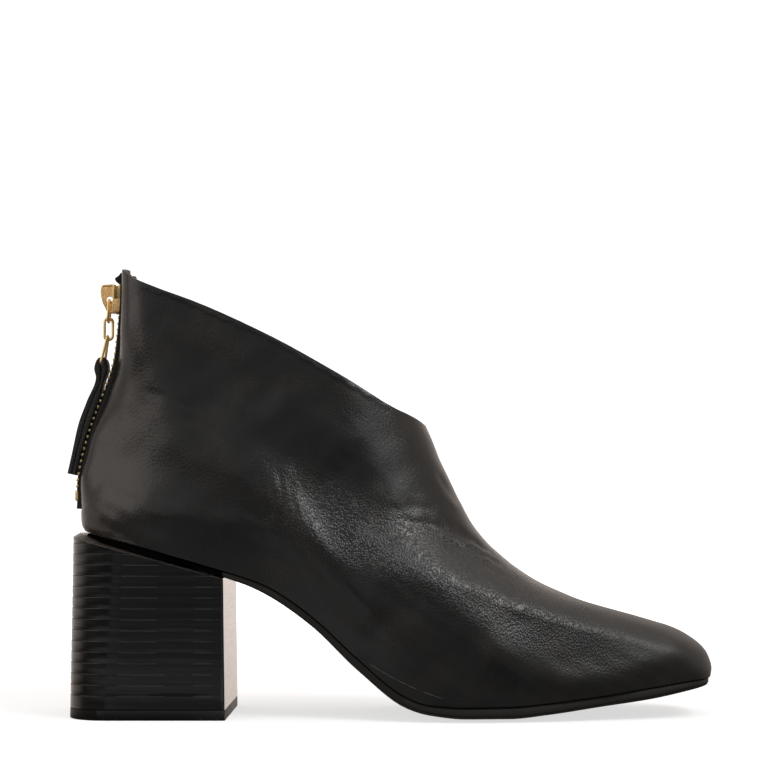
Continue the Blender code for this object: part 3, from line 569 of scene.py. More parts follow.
class BootieUpper(bpy.types.PropertyGroup):
    """Sizes of the leather upper."""

    wall: length_property("Wall", "Thickness of the leather and its lining", WALL * MM)
    edge: length_property("Edge round", "Round of the folded collar and slit", 0.0007)
    creases: FloatProperty(name="Creases", description="Strength of the creases", default=1.0, min=0.0,
                           max=2.0, subtype="FACTOR")
    swell: length_property("Swell", "Slow unevenness of the leather", 0.00018)


class BootieHeel(bpy.types.PropertyGroup):
    """Sizes of the stacked heel."""

    ledge: length_property("Ledge", "How far each lift stands out over the next", 0.00018)
    pitch: length_property("Pitch", "Height of one lift", STACK_PITCH * MM)


class BootieZip(bpy.types.PropertyGroup):
    """Sizes of the zip and its pull."""

    teeth: IntProperty(name="Teeth", description="Teeth on each side of the zip", default=29, min=2)
    wire: length_property("Wire", "Radius of the links' wire", 0.00055)
    strap_edge: length_property("Strap edge", "Round of the strap's edges", 0.00035)


class BootieStudio(bpy.types.PropertyGroup):
    """Light and floor of the studio."""

    floor: colour_property("Floor", "Paper under the shoe", (0.50, 0.50, 0.50))
    glow: level_property("Floor glow", "Light that comes through the paper", 0.66)
    softbox: power_property("Softbox", "Power of the light overhead", 4.5)
    key: power_property("Key", "Power of the high light by the toe", 4.1)
    fill: power_property("Fill", "Power of the low light by the toe", 0.28)
    card: power_property("Card", "Power of the pale card on the floor", 0.010)
    front: level_property("Front", "Brightness of the dim studio by the camera", 0.22)
    behind: level_property("Behind", "Brightness of the white behind the shoe", 1.0)
    left_light: power_property("Left light", "Power of the light beside the heel", 2.5)
    warmth: colour_property("Warmth", "Tint of the white behind the shoe", (1.0, 0.88, 0.80))


def smooth(at, knots, values):
    """A monotone cubic through the rows of a table, with no overshoot between them."""
    knots = np.asarray(knots, float)
    values = np.asarray(values, float)
    at = np.clip(np.asarray(at, float), knots[0], knots[-1])
    step = np.diff(knots).reshape((-1,) + (1,) * (values.ndim - 1))
    slope = np.diff(values, axis=0) / step
    before, after = slope[:-1], slope[1:]
    total = before + after
    rising = before * after > 0
    mean = np.where(rising, 2 * before * after / np.where(rising, total, 1.0), 0.0)
    tangent = np.concatenate([slope[:1], mean, slope[-1:]])
    low = np.clip(np.searchsorted(knots, at, side="right") - 1, 0, len(knots) - 2)
    width = knots[low + 1] - knots[low]
    u = (at - knots[low]) / width
    if values.ndim > 1:
        u = u[..., None]
        width = width[..., None]
    return (values[low] * (1 + 2 * u) * (1 - u) ** 2 + values[low + 1] * u * u * (3 - 2 * u)
            + width * u * (1 - u) * (tangent[low] * (1 - u) - tangent[low + 1] * u))


def fade(at, start, end):
    """A soft rise from 0 at start to 1 at end."""
    share = np.clip((np.asarray(at, float) - start) / (end - start), 0.0, 1.0)
    return share * share * (3.0 - 2.0 * share)


def column(rows, name):
    return [getattr(row, name) for row in rows]


def sole(x, name):
    """A column of the sole's table at any length."""
    return smooth(x, column(SOLE, "x"), column(SOLE, name))


class Line:
    """A curve through (x, z) points, read by its share of the length."""

    def __init__(self, points):
        points = np.asarray(points, float)
        chords = np.hypot(*np.diff(points, axis=0).T)
        knots = np.concatenate([[0.0], np.cumsum(chords)])
        self.path = smooth(np.linspace(0.0, knots[-1], LINE_STEPS), knots, points)
        run = np.concatenate([[0.0], np.cumsum(np.hypot(*np.diff(self.path, axis=0).T))])
        self.length = run[-1]
        self.shares = run / self.length

    def at(self, share):
        return np.stack([np.interp(share, self.shares, part) for part in self.path.T], axis=-1)

    def share_at_height(self, z):
        return np.interp(z, self.path[:, 1], self.shares)


FEATHER_LINE = Line([(row.x, row.feather) for row in SOLE])
BACK_LINE = Line([(row.x, row.z) for row in BACK])
RIDGE_LINE = Line([(row.x, row.z) for row in RIDGE])
COLLAR_LINE = Line([(row.x, row.z) for row in COLLAR])


def side_point(t, v):
    """Side view of the upper: t runs from the back to the front, v from the sole to the collar."""
    t = np.asarray(t, float)[..., None]
    v = np.asarray(v, float)[..., None]
    low, high = FEATHER_LINE.at(t[..., 0]), COLLAR_LINE.at(t[..., 0])
    back, front = BACK_LINE.at(v[..., 0]), RIDGE_LINE.at(v[..., 0])
    low_back, low_front = FEATHER_LINE.at(0.0), FEATHER_LINE.at(1.0)
    high_back, high_front = COLLAR_LINE.at(0.0), COLLAR_LINE.at(1.0)
    corners = ((1 - t) * ((1 - v) * low_back + v * high_back)
               + t * ((1 - v) * low_front + v * high_front))
    return (1 - v) * low + v * high + (1 - t) * back + t * front - corners


def end_round(distance, depth, square):
    """Share of the full width at a distance from a rounded end."""
    inside = 1.0 - np.clip(distance / depth, 0.0, 1.0)
    return (1.0 - inside ** square) ** (1.0 / square)


def loop_length(v):
    return (1 - v) * FEATHER_LINE.length + v * COLLAR_LINE.length


def ends_at(v, name):
    return smooth(v, column(ENDS, "share"), column(ENDS, name))


def body_width(t, v, side):
    """Half width of the last at one level, before its ends are rounded."""
    feather = sole(FEATHER_LINE.at(t)[..., 0], "outer" if side == OUTER else "inner")
    girth = [smooth(t, column(GIRTHS, "share"), column(GIRTHS, name))
             for name in ("flare", "middle", "high", "collar")]
    rows = np.stack([feather, feather + girth[0], girth[1], girth[2], girth[3]])
    return smooth(v, GIRTH_SHARES, rows)


def across(t, v, side):
    """Y of the upper's outer face on one side, for a row of shares t at one level v."""
    length = loop_length(v)
    back = end_round(length * t, ends_at(v, "back_depth"), ends_at(v, "back_square"))
    front = end_round(length * (1 - t), ends_at(v, "front_depth"), ends_at(v, "front_square"))
    lean = ends_at(v, "lean") * t ** 3
    return lean + side * (body_width(t, v, side) - side * lean) * back * front


def back_depth(y, v):
    """How far the upper's back has curved forward at a distance y from its middle."""
    width = body_width(np.zeros(1), v, OUTER)[0]
    depth, square = ends_at(v, "back_depth"), ends_at(v, "back_square")
    return depth * (1.0 - (1.0 - (abs(y) / width) ** square) ** (1.0 / square))


def column_spread(count):
    """Shares from 0 to 1 that crowd at both ends and where the quarter wrinkles."""
    t = np.linspace(0.0, 1.0, SPREAD_SAMPLES * count)
    density = 1.0 / np.sqrt((t + SPREAD_END) * (1.0 + SPREAD_END - t)) + SPREAD_EVEN
    density += SPREAD_WRINKLE * np.exp(-((t - WRINKLE_SHARE) / WRINKLE_SPAN) ** 2)
    run = np.concatenate([[0.0], np.cumsum((density[1:] + density[:-1]) / 2.0)])
    return np.interp(np.linspace(0.0, run[-1], count), run, t)


def upper_loop(v, spread):
    """Points of one closed loop of the upper, from the back middle round the outer side."""
    slit = back_depth(SLIT_HALF, v) / loop_length(v)
    half_slit = back_depth(SLIT_HALF / 2.0, v) / loop_length(v)
    t = np.concatenate([[0.0, half_slit], slit + (1.0 - slit) * spread])
    side_view = side_point(t, np.full(len(t), v))
    outer = np.stack([side_view[:, 0], across(t, v, OUTER), side_view[:, 1]], axis=1)
    inner = np.stack([side_view[:, 0], across(t, v, INNER), side_view[:, 1]], axis=1)
    return np.concatenate([outer, inner[-2:0:-1]])


def crease_at(places, crease):
    """How far one crease moves the leather at each place."""
    x, y, z = places.T
    waves = sum(np.sin(turn_x * x + turn_z * z + start) for turn_x, turn_z, start in WANDER_WAVES)
    wander = CREASE_WANDER * waves
    flat = np.stack([x, z + wander], axis=1)
    path = np.asarray(crease.path, float)
    lengths = np.hypot(*np.diff(path, axis=0).T)
    before = np.concatenate([[0.0], np.cumsum(lengths)])
    nearest = np.full(len(x), np.inf)
    signed = np.zeros(len(x))
    share = np.zeros(len(x))
    for k, (start, end) in enumerate(zip(path[:-1], path[1:])):
        run = (end - start) / lengths[k]
        along = np.clip((flat - start) @ run, 0.0, lengths[k])
        gap = flat - start - along[:, None] * run
        distance = np.hypot(*gap.T)
        closer = distance < nearest
        nearest = np.where(closer, distance, nearest)
        signed = np.where(closer, gap @ np.array([-run[1], run[0]]), signed)
        share = np.where(closer, (before[k] + along) / before[-1], share)
    if crease.kind == "bump":
        profile = np.exp(-(nearest / crease.width) ** 2)
    else:
        profile = 0.5 * (1.0 - np.tanh(signed / crease.width)) * np.exp(-(nearest / STEP_REACH) ** 2)
    end = min(CREASE_TAPER, LONGEST_TAPER / before[-1])
    taper = fade(share, 0.0, end) * fade(1.0 - share, 0.0, end)
    outer_share = np.clip(0.5 - y / SIDE_BLEND, 0.0, 1.0)
    weight = crease.outer * outer_share + crease.inner * (1.0 - outer_share)
    return crease.height * profile * taper * weight


def slow_swell(places):
    """A slow unevenness, from -1 to 1, that hand work leaves in leather."""

    def wave(turns):
        return np.sin(places @ np.array(turns[:3]) + turns[3])

    total = sum(weight * wave(first) * wave(second) for weight, first, second in SWELL_WAVES)
    return total / sum(weight for weight, _, _ in SWELL_WAVES)


def fold_depth(z):
    return smooth(z, column(SLIT_FOLD, "z"), column(SLIT_FOLD, "depth"))


def slit_fold(places):
    """How far the leather is turned in at each place beside the slit."""
    x, y, z = places.T
    beside = 1.0 - fade(np.abs(y) - SLIT_HALF, *FOLD_REACH)
    return np.where(x < FOLD_FRONT, fold_depth(z) * beside, 0.0)


class Tone:
    """A socket of a node tree that takes part in Python expressions."""

    def __init__(self, graph, socket):
        self.graph = graph
        self.socket = socket

    def math(self, operation, *values):
        return self.graph.node("ShaderNodeMath", {"operation": operation}, values)

    def __add__(self, other):
        return self.math("ADD", self, other)

    def __radd__(self, other):
        return self.math("ADD", other, self)

    def __sub__(self, other):
        return self.math("SUBTRACT", self, other)

    def __rsub__(self, other):
        return self.math("SUBTRACT", other, self)

    def __mul__(self, other):
        return self.math("MULTIPLY", self, other)

    def __rmul__(self, other):
        return self.math("MULTIPLY", other, self)

    def __truediv__(self, other):
        return self.math("DIVIDE", self, other)

    def __rtruediv__(self, other):
        return self.math("DIVIDE", other, self)

    def __abs__(self):
        return self.math("ABSOLUTE", self)

    def __floor__(self):
        return self.math("FLOOR", self)


class Graph:
    """A node tree in the making. node adds one node and gives one of its outputs."""

    def __init__(self, tree):
        self.tree = tree

    def node(self, kind, settings=None, inputs=(), output=0):
        made = self.tree.nodes.new(kind)
        for key, value in (settings or {}).items():
            setattr(made, key, value)
        for key, value in inputs.items() if isinstance(inputs, dict) else enumerate(inputs):
            self.feed(made.inputs[key], value)
        return Tone(self, made.outputs[output]) if made.outputs else None

    def feed(self, socket, value):
        if isinstance(value, Tone):
            self.tree.links.new(value.socket, socket)
        else:
            socket.default_value = value

    def between(self, value, low, high, to_low=0.0, to_high=1.0):
        """A value mapped from one range to another, and held at its ends."""
        inputs = {"Value": value, "From Min": low, "From Max": high, "To Min": to_low, "To Max": to_high}
        return self.node("ShaderNodeMapRange", {"interpolation_type": "SMOOTHSTEP"}, inputs)

    def ramps(self, rows, scale=1.0, **values):
        """Every ramp of a table by its name, with the table's ranges scaled."""
        made = {}
        for name, value, low, high, to_low, to_high in rows:
            made[name] = self.between(values[value], low * scale, high * scale, to_low, to_high)
        return SimpleNamespace(**made)

    def blend(self, first, second, share):
        """A colour between two."""
        colours = [value if isinstance(value, Tone) else (*value, 1.0) for value in (first, second)]
        inputs = {0: share, 6: colours[0], 7: colours[1]}
        return self.node("ShaderNodeMix", {"data_type": "RGBA"}, inputs, 2)

    def axes(self, place):
        return [self.node("ShaderNodeSeparateXYZ", {}, (place,), axis) for axis in "XYZ"]


class Finish(Graph):
    """A material of one surface."""

    def __init__(self, name, constants):
        self.material = bpy.data.materials.new(name)
        self.material.use_nodes = True
        super().__init__(self.material.node_tree)
        self.shader = self.tree.nodes["Principled BSDF"]
        for socket, value in constants.items():
            self.shader.inputs[socket].default_value = value
        self.place = self.node("ShaderNodeTexCoord", output="Object")

    def set(self, socket, value):
        self.feed(self.shader.inputs[socket], value)

    def stretch(self, x, y, z):
        """The place on the piece, with each axis scaled."""
        return self.node("ShaderNodeVectorMath", {"operation": "MULTIPLY"}, (self.place, (x, y, z)))

    def noise(self, size, detail=2.0, place=None):
        """Soft noise of a size in metres, about 0 to 1."""
        inputs = {"Vector": place or self.place, "Scale": 1.0 / size, "Detail": detail}
        return self.node("ShaderNodeTexNoise", {}, inputs, "Fac")

    def cells(self, size, place=None):
        """Distance inside cells of a size in metres."""
        inputs = {"Vector": place or self.place, "Scale": 1.0 / size}
        return self.node("ShaderNodeTexVoronoi", {}, inputs, "Distance")

    def bump(self, height, distance):
        self.set("Normal", self.node("ShaderNodeBump", {}, {"Height": height, "Distance": distance}))


def leather_finish(name, look, colour, worn, coarse, roughness, painted_highlight=None):
    """Dyed leather with a fine pebble grain, pores and a slow change of gloss.

    With a highlight colour it is leather drawn over a last: grained at the instep, smooth at the toe,
    and with a painted highlight in a thin light line above the sole at the outer ball.
    """
    finish = Finish(name, {"Specular IOR Level": 0.5})
    grain = coarse * look.grain
    broad = finish.noise(LEATHER_CLOUD * MM, 3.0)
    drift = finish.noise(5.0 * grain)
    pebbles = finish.cells(grain, finish.stretch(1.3, 1.1, 0.9) if painted_highlight else None)
    fine = finish.noise(0.45 * grain)
    relief = finish.between(pebbles, 0.0, 0.75) * (0.45 + drift) + fine * 0.35
    tone = finish.blend(colour, worn, finish.between(broad, 0.35, 0.75))
    gloss = roughness + 0.08 * broad + 0.06 * fine
    if painted_highlight:
        x, y, z = finish.axes(finish.place)
        off_line = abs(z - (HIGHLIGHT_LINE_HEIGHT * MM - HIGHLIGHT_LINE_SLOPE * x + HIGHLIGHT_LINE_BEND * x * x))
        mark = finish.ramps(LEATHER_MARKS, MM, x=x, y=y, slant=z + BAND_SLOPE * x, off_line=off_line)
        band = mark.band_foot * mark.band_top * mark.band_back
        relief = relief * (LEAST_GRAIN + band + mark.throat_grain) * mark.toe_grain
        gloss = gloss + mark.toe_matt
        # Painted highlight: a thin light line above the sole at the outer ball, broken by the leather's drift
        line = mark.rub_width * mark.rub_back * mark.rub_front * mark.rub_outer
        tone = finish.blend(tone, painted_highlight, line * finish.between(drift, *HIGHLIGHT_LINE_BREAKS))
    finish.bump(relief, -look.grain_height)
    finish.set("Base Color", tone)
    finish.set("Roughness", gloss)
    return finish.material


def lacquer_finish(look, heel):
    """Stained lifts under lacquer: each lift has its own tone, a grain along it and a painted highlight along
    its top edge.
    """
    finish = Finish("heel_lacquer", {"Specular IOR Level": 0.42, "Coat Roughness": 0.05})
    x, _, z = finish.axes(finish.place)
    mark = finish.ramps(HEEL_MARKS, MM, x=x, slant=z + HEEL_TOP_SLOPE * x)
    side = 1.0 - mark.breast
    lift = (z - (TOP_PIECE_THICK + GAP + FIRST_LIFT) * MM) / heel.pitch
    number = math.floor(lift)
    tone = finish.node("ShaderNodeTexWhiteNoise", {"noise_dimensions": "1D"}, {"W": number}, "Value")
    streaks = finish.noise(LACQUER_STREAK * MM, 3.0, finish.stretch(0.35, 0.35, 6.0))
    grain = finish.noise(LACQUER_GRAIN * MM, 2.0, finish.stretch(0.12, 0.12, 3.0))
    pale = finish.between(streaks + 0.3 * tone, 0.6, 1.1, 0.0, 0.35)
    # Painted highlight: a lighter line along the top of each lift, and along the heel's top rim
    edges = finish.between(lift - number, 0.955, 0.99) * finish.between(streaks, 0.4, 0.8)
    painted_highlight = (edges + mark.top_edge * mark.edge_wear) * side
    stain = finish.blend(look.stain, look.leather_worn, pale)
    finish.set("Base Color", finish.blend(stain, look.lift_edge_highlight, painted_highlight))
    finish.set("Roughness", (0.14 + 0.12 * streaks + 0.06 * tone) * (1.0 - 0.6 * mark.breast))
    finish.set("Coat Weight", finish.between(grain, 0.2, 0.8, 0.05, 0.4) + 0.5 * mark.breast)
    finish.bump((grain + 0.8 * streaks) * side, 0.02 * MM)
    return finish.material


def gold_finish(name, look, granular=False):
    """Gold plating with fine wear, or the granular bed of a slider's plate."""
    finish = Finish(name, {"Metallic": 0.7})
    fine = finish.noise(GOLD_FINE * MM)
    if granular:
        grains = finish.cells(GOLD_GRAINS * MM)
        # The deeper gold lies in the hollows between the grains: painted shade
        wear_and_hollow_shade = finish.between(grains, 0.2, 0.6)
        finish.bump(grains, -0.2 * MM)
        finish.set("Roughness", 0.3 + 0.2 * fine)
    else:
        wear = finish.noise(GOLD_WEAR * MM, 3.0)
        wear_and_hollow_shade = finish.between(wear, 0.45, 0.85)
        finish.bump(fine, 0.02 * MM)
        finish.set("Roughness", 0.2 + 0.18 * wear)
    finish.set("Base Color", finish.blend(look.gold, look.gold_deep, wear_and_hollow_shade))
    return finish.material


def tape_finish(look):
    """Woven tape: fine ribs along it crossed by the weft."""
    finish = Finish("zip_tape_weave", {"Specular IOR Level": 0.3})
    threads = []
    for axis, space in (("Y", WARP_SPACE), ("Z", WEFT_SPACE)):
        inputs = {"Vector": finish.place, "Scale": WAVE_SCALE / (space * MM), "Distortion": 0.4}
        threads.append(finish.node("ShaderNodeTexWave", {"bands_direction": axis}, inputs))
    weave = threads[0] * threads[1]
    fuzz = finish.noise(TAPE_FUZZ * MM)
    finish.bump(weave + 0.4 * fuzz, 0.12 * MM)
    finish.set("Base Color", finish.blend(look.tape, look.leather_worn, finish.between(weave, 0.4, 1.0)))
    finish.set("Roughness", 0.78 + 0.14 * fuzz)
    return finish.material


def moulded_finish(name, colour, scuffed, roughness, texture, shine):
    """Moulded resin or rubber with a fine matt texture and light scuffs."""
    finish = Finish(name, {"Specular IOR Level": shine})
    matt = finish.noise(texture * MM, 3.0)
    scuffs = finish.noise(SCUFF * MM, 4.0, finish.stretch(0.35, 1.0, 1.0))
    finish.bump(matt, 0.06 * MM)
    finish.set("Base Color", finish.blend(colour, scuffed, finish.between(scuffs, 0.5, 0.8)))
    finish.set("Roughness", roughness + 0.16 * scuffs + 0.06 * matt)
    return finish.material


@contextmanager
def editing(mesh):
    """A mesh opened for editing, and written back with its faces turned outward."""
    work = bmesh.new()
    work.from_mesh(mesh)
    yield work
    bmesh.ops.recalc_face_normals(work, faces=work.faces)
    work.to_mesh(mesh)
    work.free()


def mesh_from(points, faces):
    """A mesh from millimetre points, without those that no face uses."""
    mesh = bpy.data.meshes.new("piece")
    mesh.from_pydata((np.asarray(points, float) * MM).tolist(), [], faces)
    with editing(mesh) as work:
        loose = [vert for vert in work.verts if not vert.link_faces]
        bmesh.ops.delete(work, geom=loose, context="VERTS")
    return mesh


def add_piece(name, mesh, finishes, nodes, body="boot", sharp=50.0):
    """Puts a finished mesh in the scene, on its body and in place of its CAD nodes."""
    mesh.name = name
    mesh.shade_smooth()
    mesh.set_sharp_from_angle(angle=math.radians(sharp))
    for finish in finishes:
        mesh.materials.append(finish)
    piece = bpy.data.objects.new(name, mesh)
    bpy.context.scene.collection.objects.link(piece)
    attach(piece, body)
    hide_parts(*nodes)
    return piece


class Shape:
    """Points and faces of a piece that is put together from several closed forms."""

    def __init__(self):
        self.points = []
        self.faces = []
        self.finishes = []

    def add(self, points, faces, finish=0):
        start = len(self.points)
        self.points.extend(points)
        self.faces.extend(tuple(start + k for k in face) for face in faces)
        self.finishes.extend([finish] * len(faces))
        return self

    def rings(self, rings, closed=False):
        """A form through rings of the same number of points, capped at both ends or closed on itself."""
        count, total = len(rings[0]), len(rings)
        faces = []
        for row in range(total if closed else total - 1):
            here, there = row * count, (row + 1) % total * count
            for k in range(count):
                after = (k + 1) % count
                faces.append((here + k, here + after, there + after, there + k))
        if not closed:
            faces.append(tuple(range(count))[::-1])
            faces.append(tuple(range((total - 1) * count, total * count)))
        return self.add([point for ring in rings for point in ring], faces)

    def mesh(self):
        made = mesh_from(self.points, self.faces)
        made.polygons.foreach_set("material_index", self.finishes)
        return made


def quarter_turn(steps):
    return np.linspace(0.0, math.pi / 2, steps + 1)


def full_turn(count):
    return np.linspace(0.0, 2 * math.pi, count, endpoint=False)


def edge_at(x, inset, side):
    """Y of the sole's outline at any length, drawn in by an inset."""
    length = loop_length(0.0)
    share = np.interp(x, FEATHER_LINE.path[:, 0], FEATHER_LINE.shares)
    end = ENDS[0]
    back = end_round(np.maximum(length * share - inset, 0.0), end.back_depth, end.back_square)
    front = end_round(np.maximum(length * (1 - share) - inset, 0.0), end.front_depth, end.front_square)
    lean = end.lean * share ** 3
    half = sole(x, "outer" if side == OUTER else "inner") - inset
    return lean + side * (half - side * lean) * back * front


def plate_mesh(stations, inset_at, section):
    """A closed plate along the sole.

    section takes a length and the half width there, and gives (share across, height) from the middle
    of the plate's section to its right, and back to the middle.
    """
    rings = []
    for x in stations:
        ends = edge_at(x, inset_at(x), OUTER), edge_at(x, inset_at(x), INNER)
        middle, half = (ends[0] + ends[1]) / 2.0, (ends[1] - ends[0]) / 2.0
        right = section(x, half)
        left = [(-share, z) for share, z in right[:0:-1]]
        rings.append([(x, middle + share * half, z) for share, z in right + left])
    return Shape().rings(rings).mesh()


def stations_between(first, last, count, keep=()):
    """Lengths that crowd towards both ends, with the given ones among them."""
    turn = np.linspace(0.0, math.pi, count)
    even = first + (last - first) * (1.0 - np.cos(turn)) / 2.0
    spread = [x for x in even if all(abs(x - kept) > STATION_SPACE for kept in keep)]
    return sorted(spread + list(keep))


def heel_ring(z, inset=0.0):
    """The heel's outline at one height: tight corners at the breast, round ones at the back."""
    share = z / HEEL_TOP["z"]
    size = {key: HEEL_FOOT[key] + share * (HEEL_TOP[key] - HEEL_FOOT[key]) for key in HEEL_TOP}
    half, back, breast, corner = size["half"] - inset, size["back"] + inset, size["breast"], size["corner"]
    tight = [(breast - BREAST_CORNER * (1 - math.cos(turn)), half - BREAST_CORNER * (1 - math.sin(turn)))
             for turn in quarter_turn(BREAST_STEPS)]
    flat = [(x, half) for x in np.linspace(breast - BREAST_CORNER, back + corner, FLAT_STEPS + 1)[1:-1]]
    wide = [(back + corner * (1 - math.sin(turn)), half - corner * (1 - math.cos(turn)))
            for turn in quarter_turn(CORNER_STEPS)]
    outline = tight + flat + wide
    return [(x, OUTER * y, z) for x, y in outline] + [(x, INNER * y, z) for x, y in outline[::-1]]


def back_frame(z):
    """Share, place, direction up and direction out on the back's middle line at a height."""
    share = float(BACK_LINE.share_at_height(z))
    step = 0.002
    place = BACK_LINE.at(share)
    run = BACK_LINE.at(min(share + step, 1.0)) - BACK_LINE.at(max(share - step, 0.0))
    run /= np.hypot(*run)
    return share, place, run, np.array([-run[1], run[0]])


def back_point(z, y, rise):
    """A point over the upper's back, at a height, a distance from its middle and a rise off it."""
    share, place, _, out = back_frame(z)
    x, height = place + out * (rise - back_depth(y, share))
    return (x, y, height)


def zip_rise(z):
    return float(smooth(z, column(ZIP_LINE, "z"), column(ZIP_LINE, "rise")))


def round_outline(points, cut, steps):
    """A closed outline with each corner cut back and bent round."""
    points = np.asarray(points, float)
    made = []
    for before, corner, after in zip(np.roll(points, 1, 0), points, np.roll(points, -1, 0)):
        arms = []
        for other in (before, after):
            length = np.hypot(*(other - corner))
            arms.append(corner + (other - corner) * min(cut, ARM_LIMIT * length) / length)
        for share in np.linspace(0.0, 1.0, steps + 1):
            made.append((1 - share) ** 2 * arms[0] + 2 * share * (1 - share) * corner + share ** 2 * arms[1])
    return np.array(made)


def circle(centre, radius, count):
    turns = full_turn(count)
    return np.stack([centre[0] + radius * np.cos(turns), centre[1] + radius * np.sin(turns)], axis=1)


def inward(outline):
    """Unit vectors into a closed outline of the side view."""
    run = np.roll(outline, -1, 0) - np.roll(outline, 1, 0)
    run /= np.hypot(*run.T)[:, None]
    left = np.stack([-run[:, 1], run[:, 0]], axis=1)
    x, z = outline.T
    area = np.sum(x * np.roll(z, -1) - np.roll(x, -1) * z)
    return left if area > 0 else -left


def band_rings(outline, section):
    """Rings of a band along a closed outline. section has (distance inward, y) corners."""
    aim = inward(outline)
    return [[(place[0] + way[0] * depth, y, place[1] + way[1] * depth) for depth, y in section]
            for place, way in zip(outline, aim)]


def filled_plate(outline, hole, half):
    """Points and faces of a flat plate with a hole, as thick as twice the half."""
    work = bmesh.new()
    edges = []
    for loop in (outline, hole):
        ring = [work.verts.new((x, -half, z)) for x, z in loop]
        edges.extend(work.edges.new((a, b)) for a, b in zip(ring, ring[1:] + ring[:1]))
    filled = bmesh.ops.triangle_fill(work, edges=edges, use_beauty=True)
    faces = [face for face in filled["geom"] if isinstance(face, bmesh.types.BMFace)]
    raised = bmesh.ops.extrude_face_region(work, geom=faces)
    verts = [item for item in raised["geom"] if isinstance(item, bmesh.types.BMVert)]
    bmesh.ops.translate(work, verts=verts, vec=(0.0, 2.0 * half, 0.0))
    return read_work(work)


def block(low, high, edge):
    """Points and faces of a block with rounded edges."""
    work = bmesh.new()
    bmesh.ops.create_cube(work, size=1.0)
    low, high = np.asarray(low, float), np.asarray(high, float)
    for vert in work.verts:
        vert.co = (low + high) / 2.0 + np.array(vert.co) * (high - low)
    bmesh.ops.bevel(work, geom=work.edges[:], offset=edge, segments=BLOCK_SEGMENTS, profile=0.5,
                    affect="EDGES")
    return read_work(work)


def read_work(work):
    bmesh.ops.recalc_face_normals(work, faces=work.faces)
    work.verts.index_update()
    points = [tuple(vert.co) for vert in work.verts]
    faces = [tuple(vert.index for vert in face.verts) for face in work.faces]
    work.free()
    return points, faces


def wire_loop(top, end, top_half, end_half, top_bend, end_bend, crosswise):
    """Points of a link from its top to its end, with a bend of its own at the corners of each."""
    top, end = np.asarray(top, float), np.asarray(end, float)
    length = np.hypot(*(end - top))
    down = (end - top) / length
    sideways = np.array([-down[1], down[0]])
    turns = quarter_turn(BEND_STEPS)
    right = [(top_half - top_bend * (1 - math.sin(turn)), top_bend * (1 - math.cos(turn))) for turn in turns]
    right += [(end_half - end_bend * (1 - math.cos(turn)), length - end_bend * (1 - math.sin(turn)))
              for turn in turns]
    left = [(-over, along) for over, along in right[::-1] if over > ON_AXIS]
    points = []
    for over, along in right + left:
        place = top + down * along
        if crosswise:
            points.append((place[0], over, place[1]))
        else:
            points.append((place[0] + sideways[0] * over, 0.0, place[1] + sideways[1] * over))
    return np.array(points)


def tube_rings(points, radius):
    """Rings of a round wire along a closed flat loop."""
    run = np.roll(points, -1, 0) - np.roll(points, 1, 0)
    run /= np.linalg.norm(run, axis=1)[:, None]
    face = np.cross(points[1] - points[0], points[len(points) // 2] - points[0])
    face /= np.linalg.norm(face)
    rings = []
    for place, way in zip(points, run):
        over = np.cross(face, way)
        rings.append([tuple(place + radius * (math.cos(turn) * face + math.sin(turn) * over))
                      for turn in full_turn(WIRE_SIDES)])
    return rings


class BOOTIE_OT_upper(bpy.types.Operator):
    """Make the creased leather upper with its folded collar and slit"""

    bl_idname = "bootie.upper"
    bl_label = "Upper"

    def execute(self, context):
        sizes, look = context.scene.bootie_upper, context.scene.bootie_finishes
        mesh = self.make_shell()
        self.move_leather(mesh, sizes)
        leather = leather_finish("upper_leather", look, look.leather, look.leather_worn, 1.0, 0.19,
                                 look.painted_highlight)
        lining = leather_finish("upper_lining", look, look.lining, look.insole, 1.6, 0.58)
        piece = add_piece("upper_leather", mesh, (leather, lining), ("upper",), sharp=40.0)
        wall = piece.modifiers.new("wall", "SOLIDIFY")
        wall.thickness = sizes.wall
        wall.offset = -1.0
        wall.use_even_offset = True
        wall.use_quality_normals = True
        wall.material_offset = 1
        fold = piece.modifiers.new("folded_edge", "BEVEL")
        fold.width = sizes.edge
        fold.segments = EDGE_SEGMENTS
        fold.limit_method = "ANGLE"
        fold.angle_limit = math.radians(EDGE_ANGLE)
        return {"FINISHED"}

    def make_shell(self):
        """The outer face on the last, open underneath, at the collar and along the slit."""
        spread = column_spread(COLUMNS)
        under = SLIT_FOOT_SHARE * np.linspace(0.0, 1.0, LEVELS_UNDER_SLIT + 1)
        beside = np.linspace(SLIT_FOOT_SHARE, COLLAR_SHARE, LEVELS_BESIDE_SLIT + 1)
        collar = np.linspace(COLLAR_SHARE, 1.0, LEVELS_AT_COLLAR + 1)
        loops = [upper_loop(v, spread) for v in np.concatenate([under, beside[1:], collar[1:]])]
        around = len(loops[0])
        faces = []
        for level in range(len(loops) - 1):
            low, high = level * around, (level + 1) * around
            for k in range(around):
                after = (k + 1) % around
                in_slit = k < SLIT_COLUMNS or k >= around - SLIT_COLUMNS
                if level < LEVELS_UNDER_SLIT or not in_slit:
                    faces.append((low + after, low + k, high + k, high + after))
        return mesh_from(np.concatenate(loops), faces)

    def move_leather(self, mesh, sizes):
        """Moves the leather along its normals by its creases, swell, collar bead and slit fold."""
        places = np.zeros(len(mesh.vertices) * 3)
        mesh.vertices.foreach_get("co", places)
        places = places.reshape(-1, 3) / MM
        normals = np.zeros(len(mesh.vertices) * 3)
        mesh.vertex_normals.foreach_get("vector", normals)
        bead_path = tuple((row.x, row.z - BEAD_DROP) for row in COLLAR[BEAD_FROM:])
        bead = Crease("collar_bead", BEAD_HEIGHT, BEAD_WIDTH, 1.0, bead_path)
        moved = sum(crease_at(places, crease) for crease in (*CREASES, bead)) * sizes.creases
        moved += slow_swell(places) * sizes.swell / MM - slit_fold(places)
        places += normals.reshape(-1, 3) * moved[:, None]
        mesh.vertices.foreach_set("co", (places * MM).ravel())


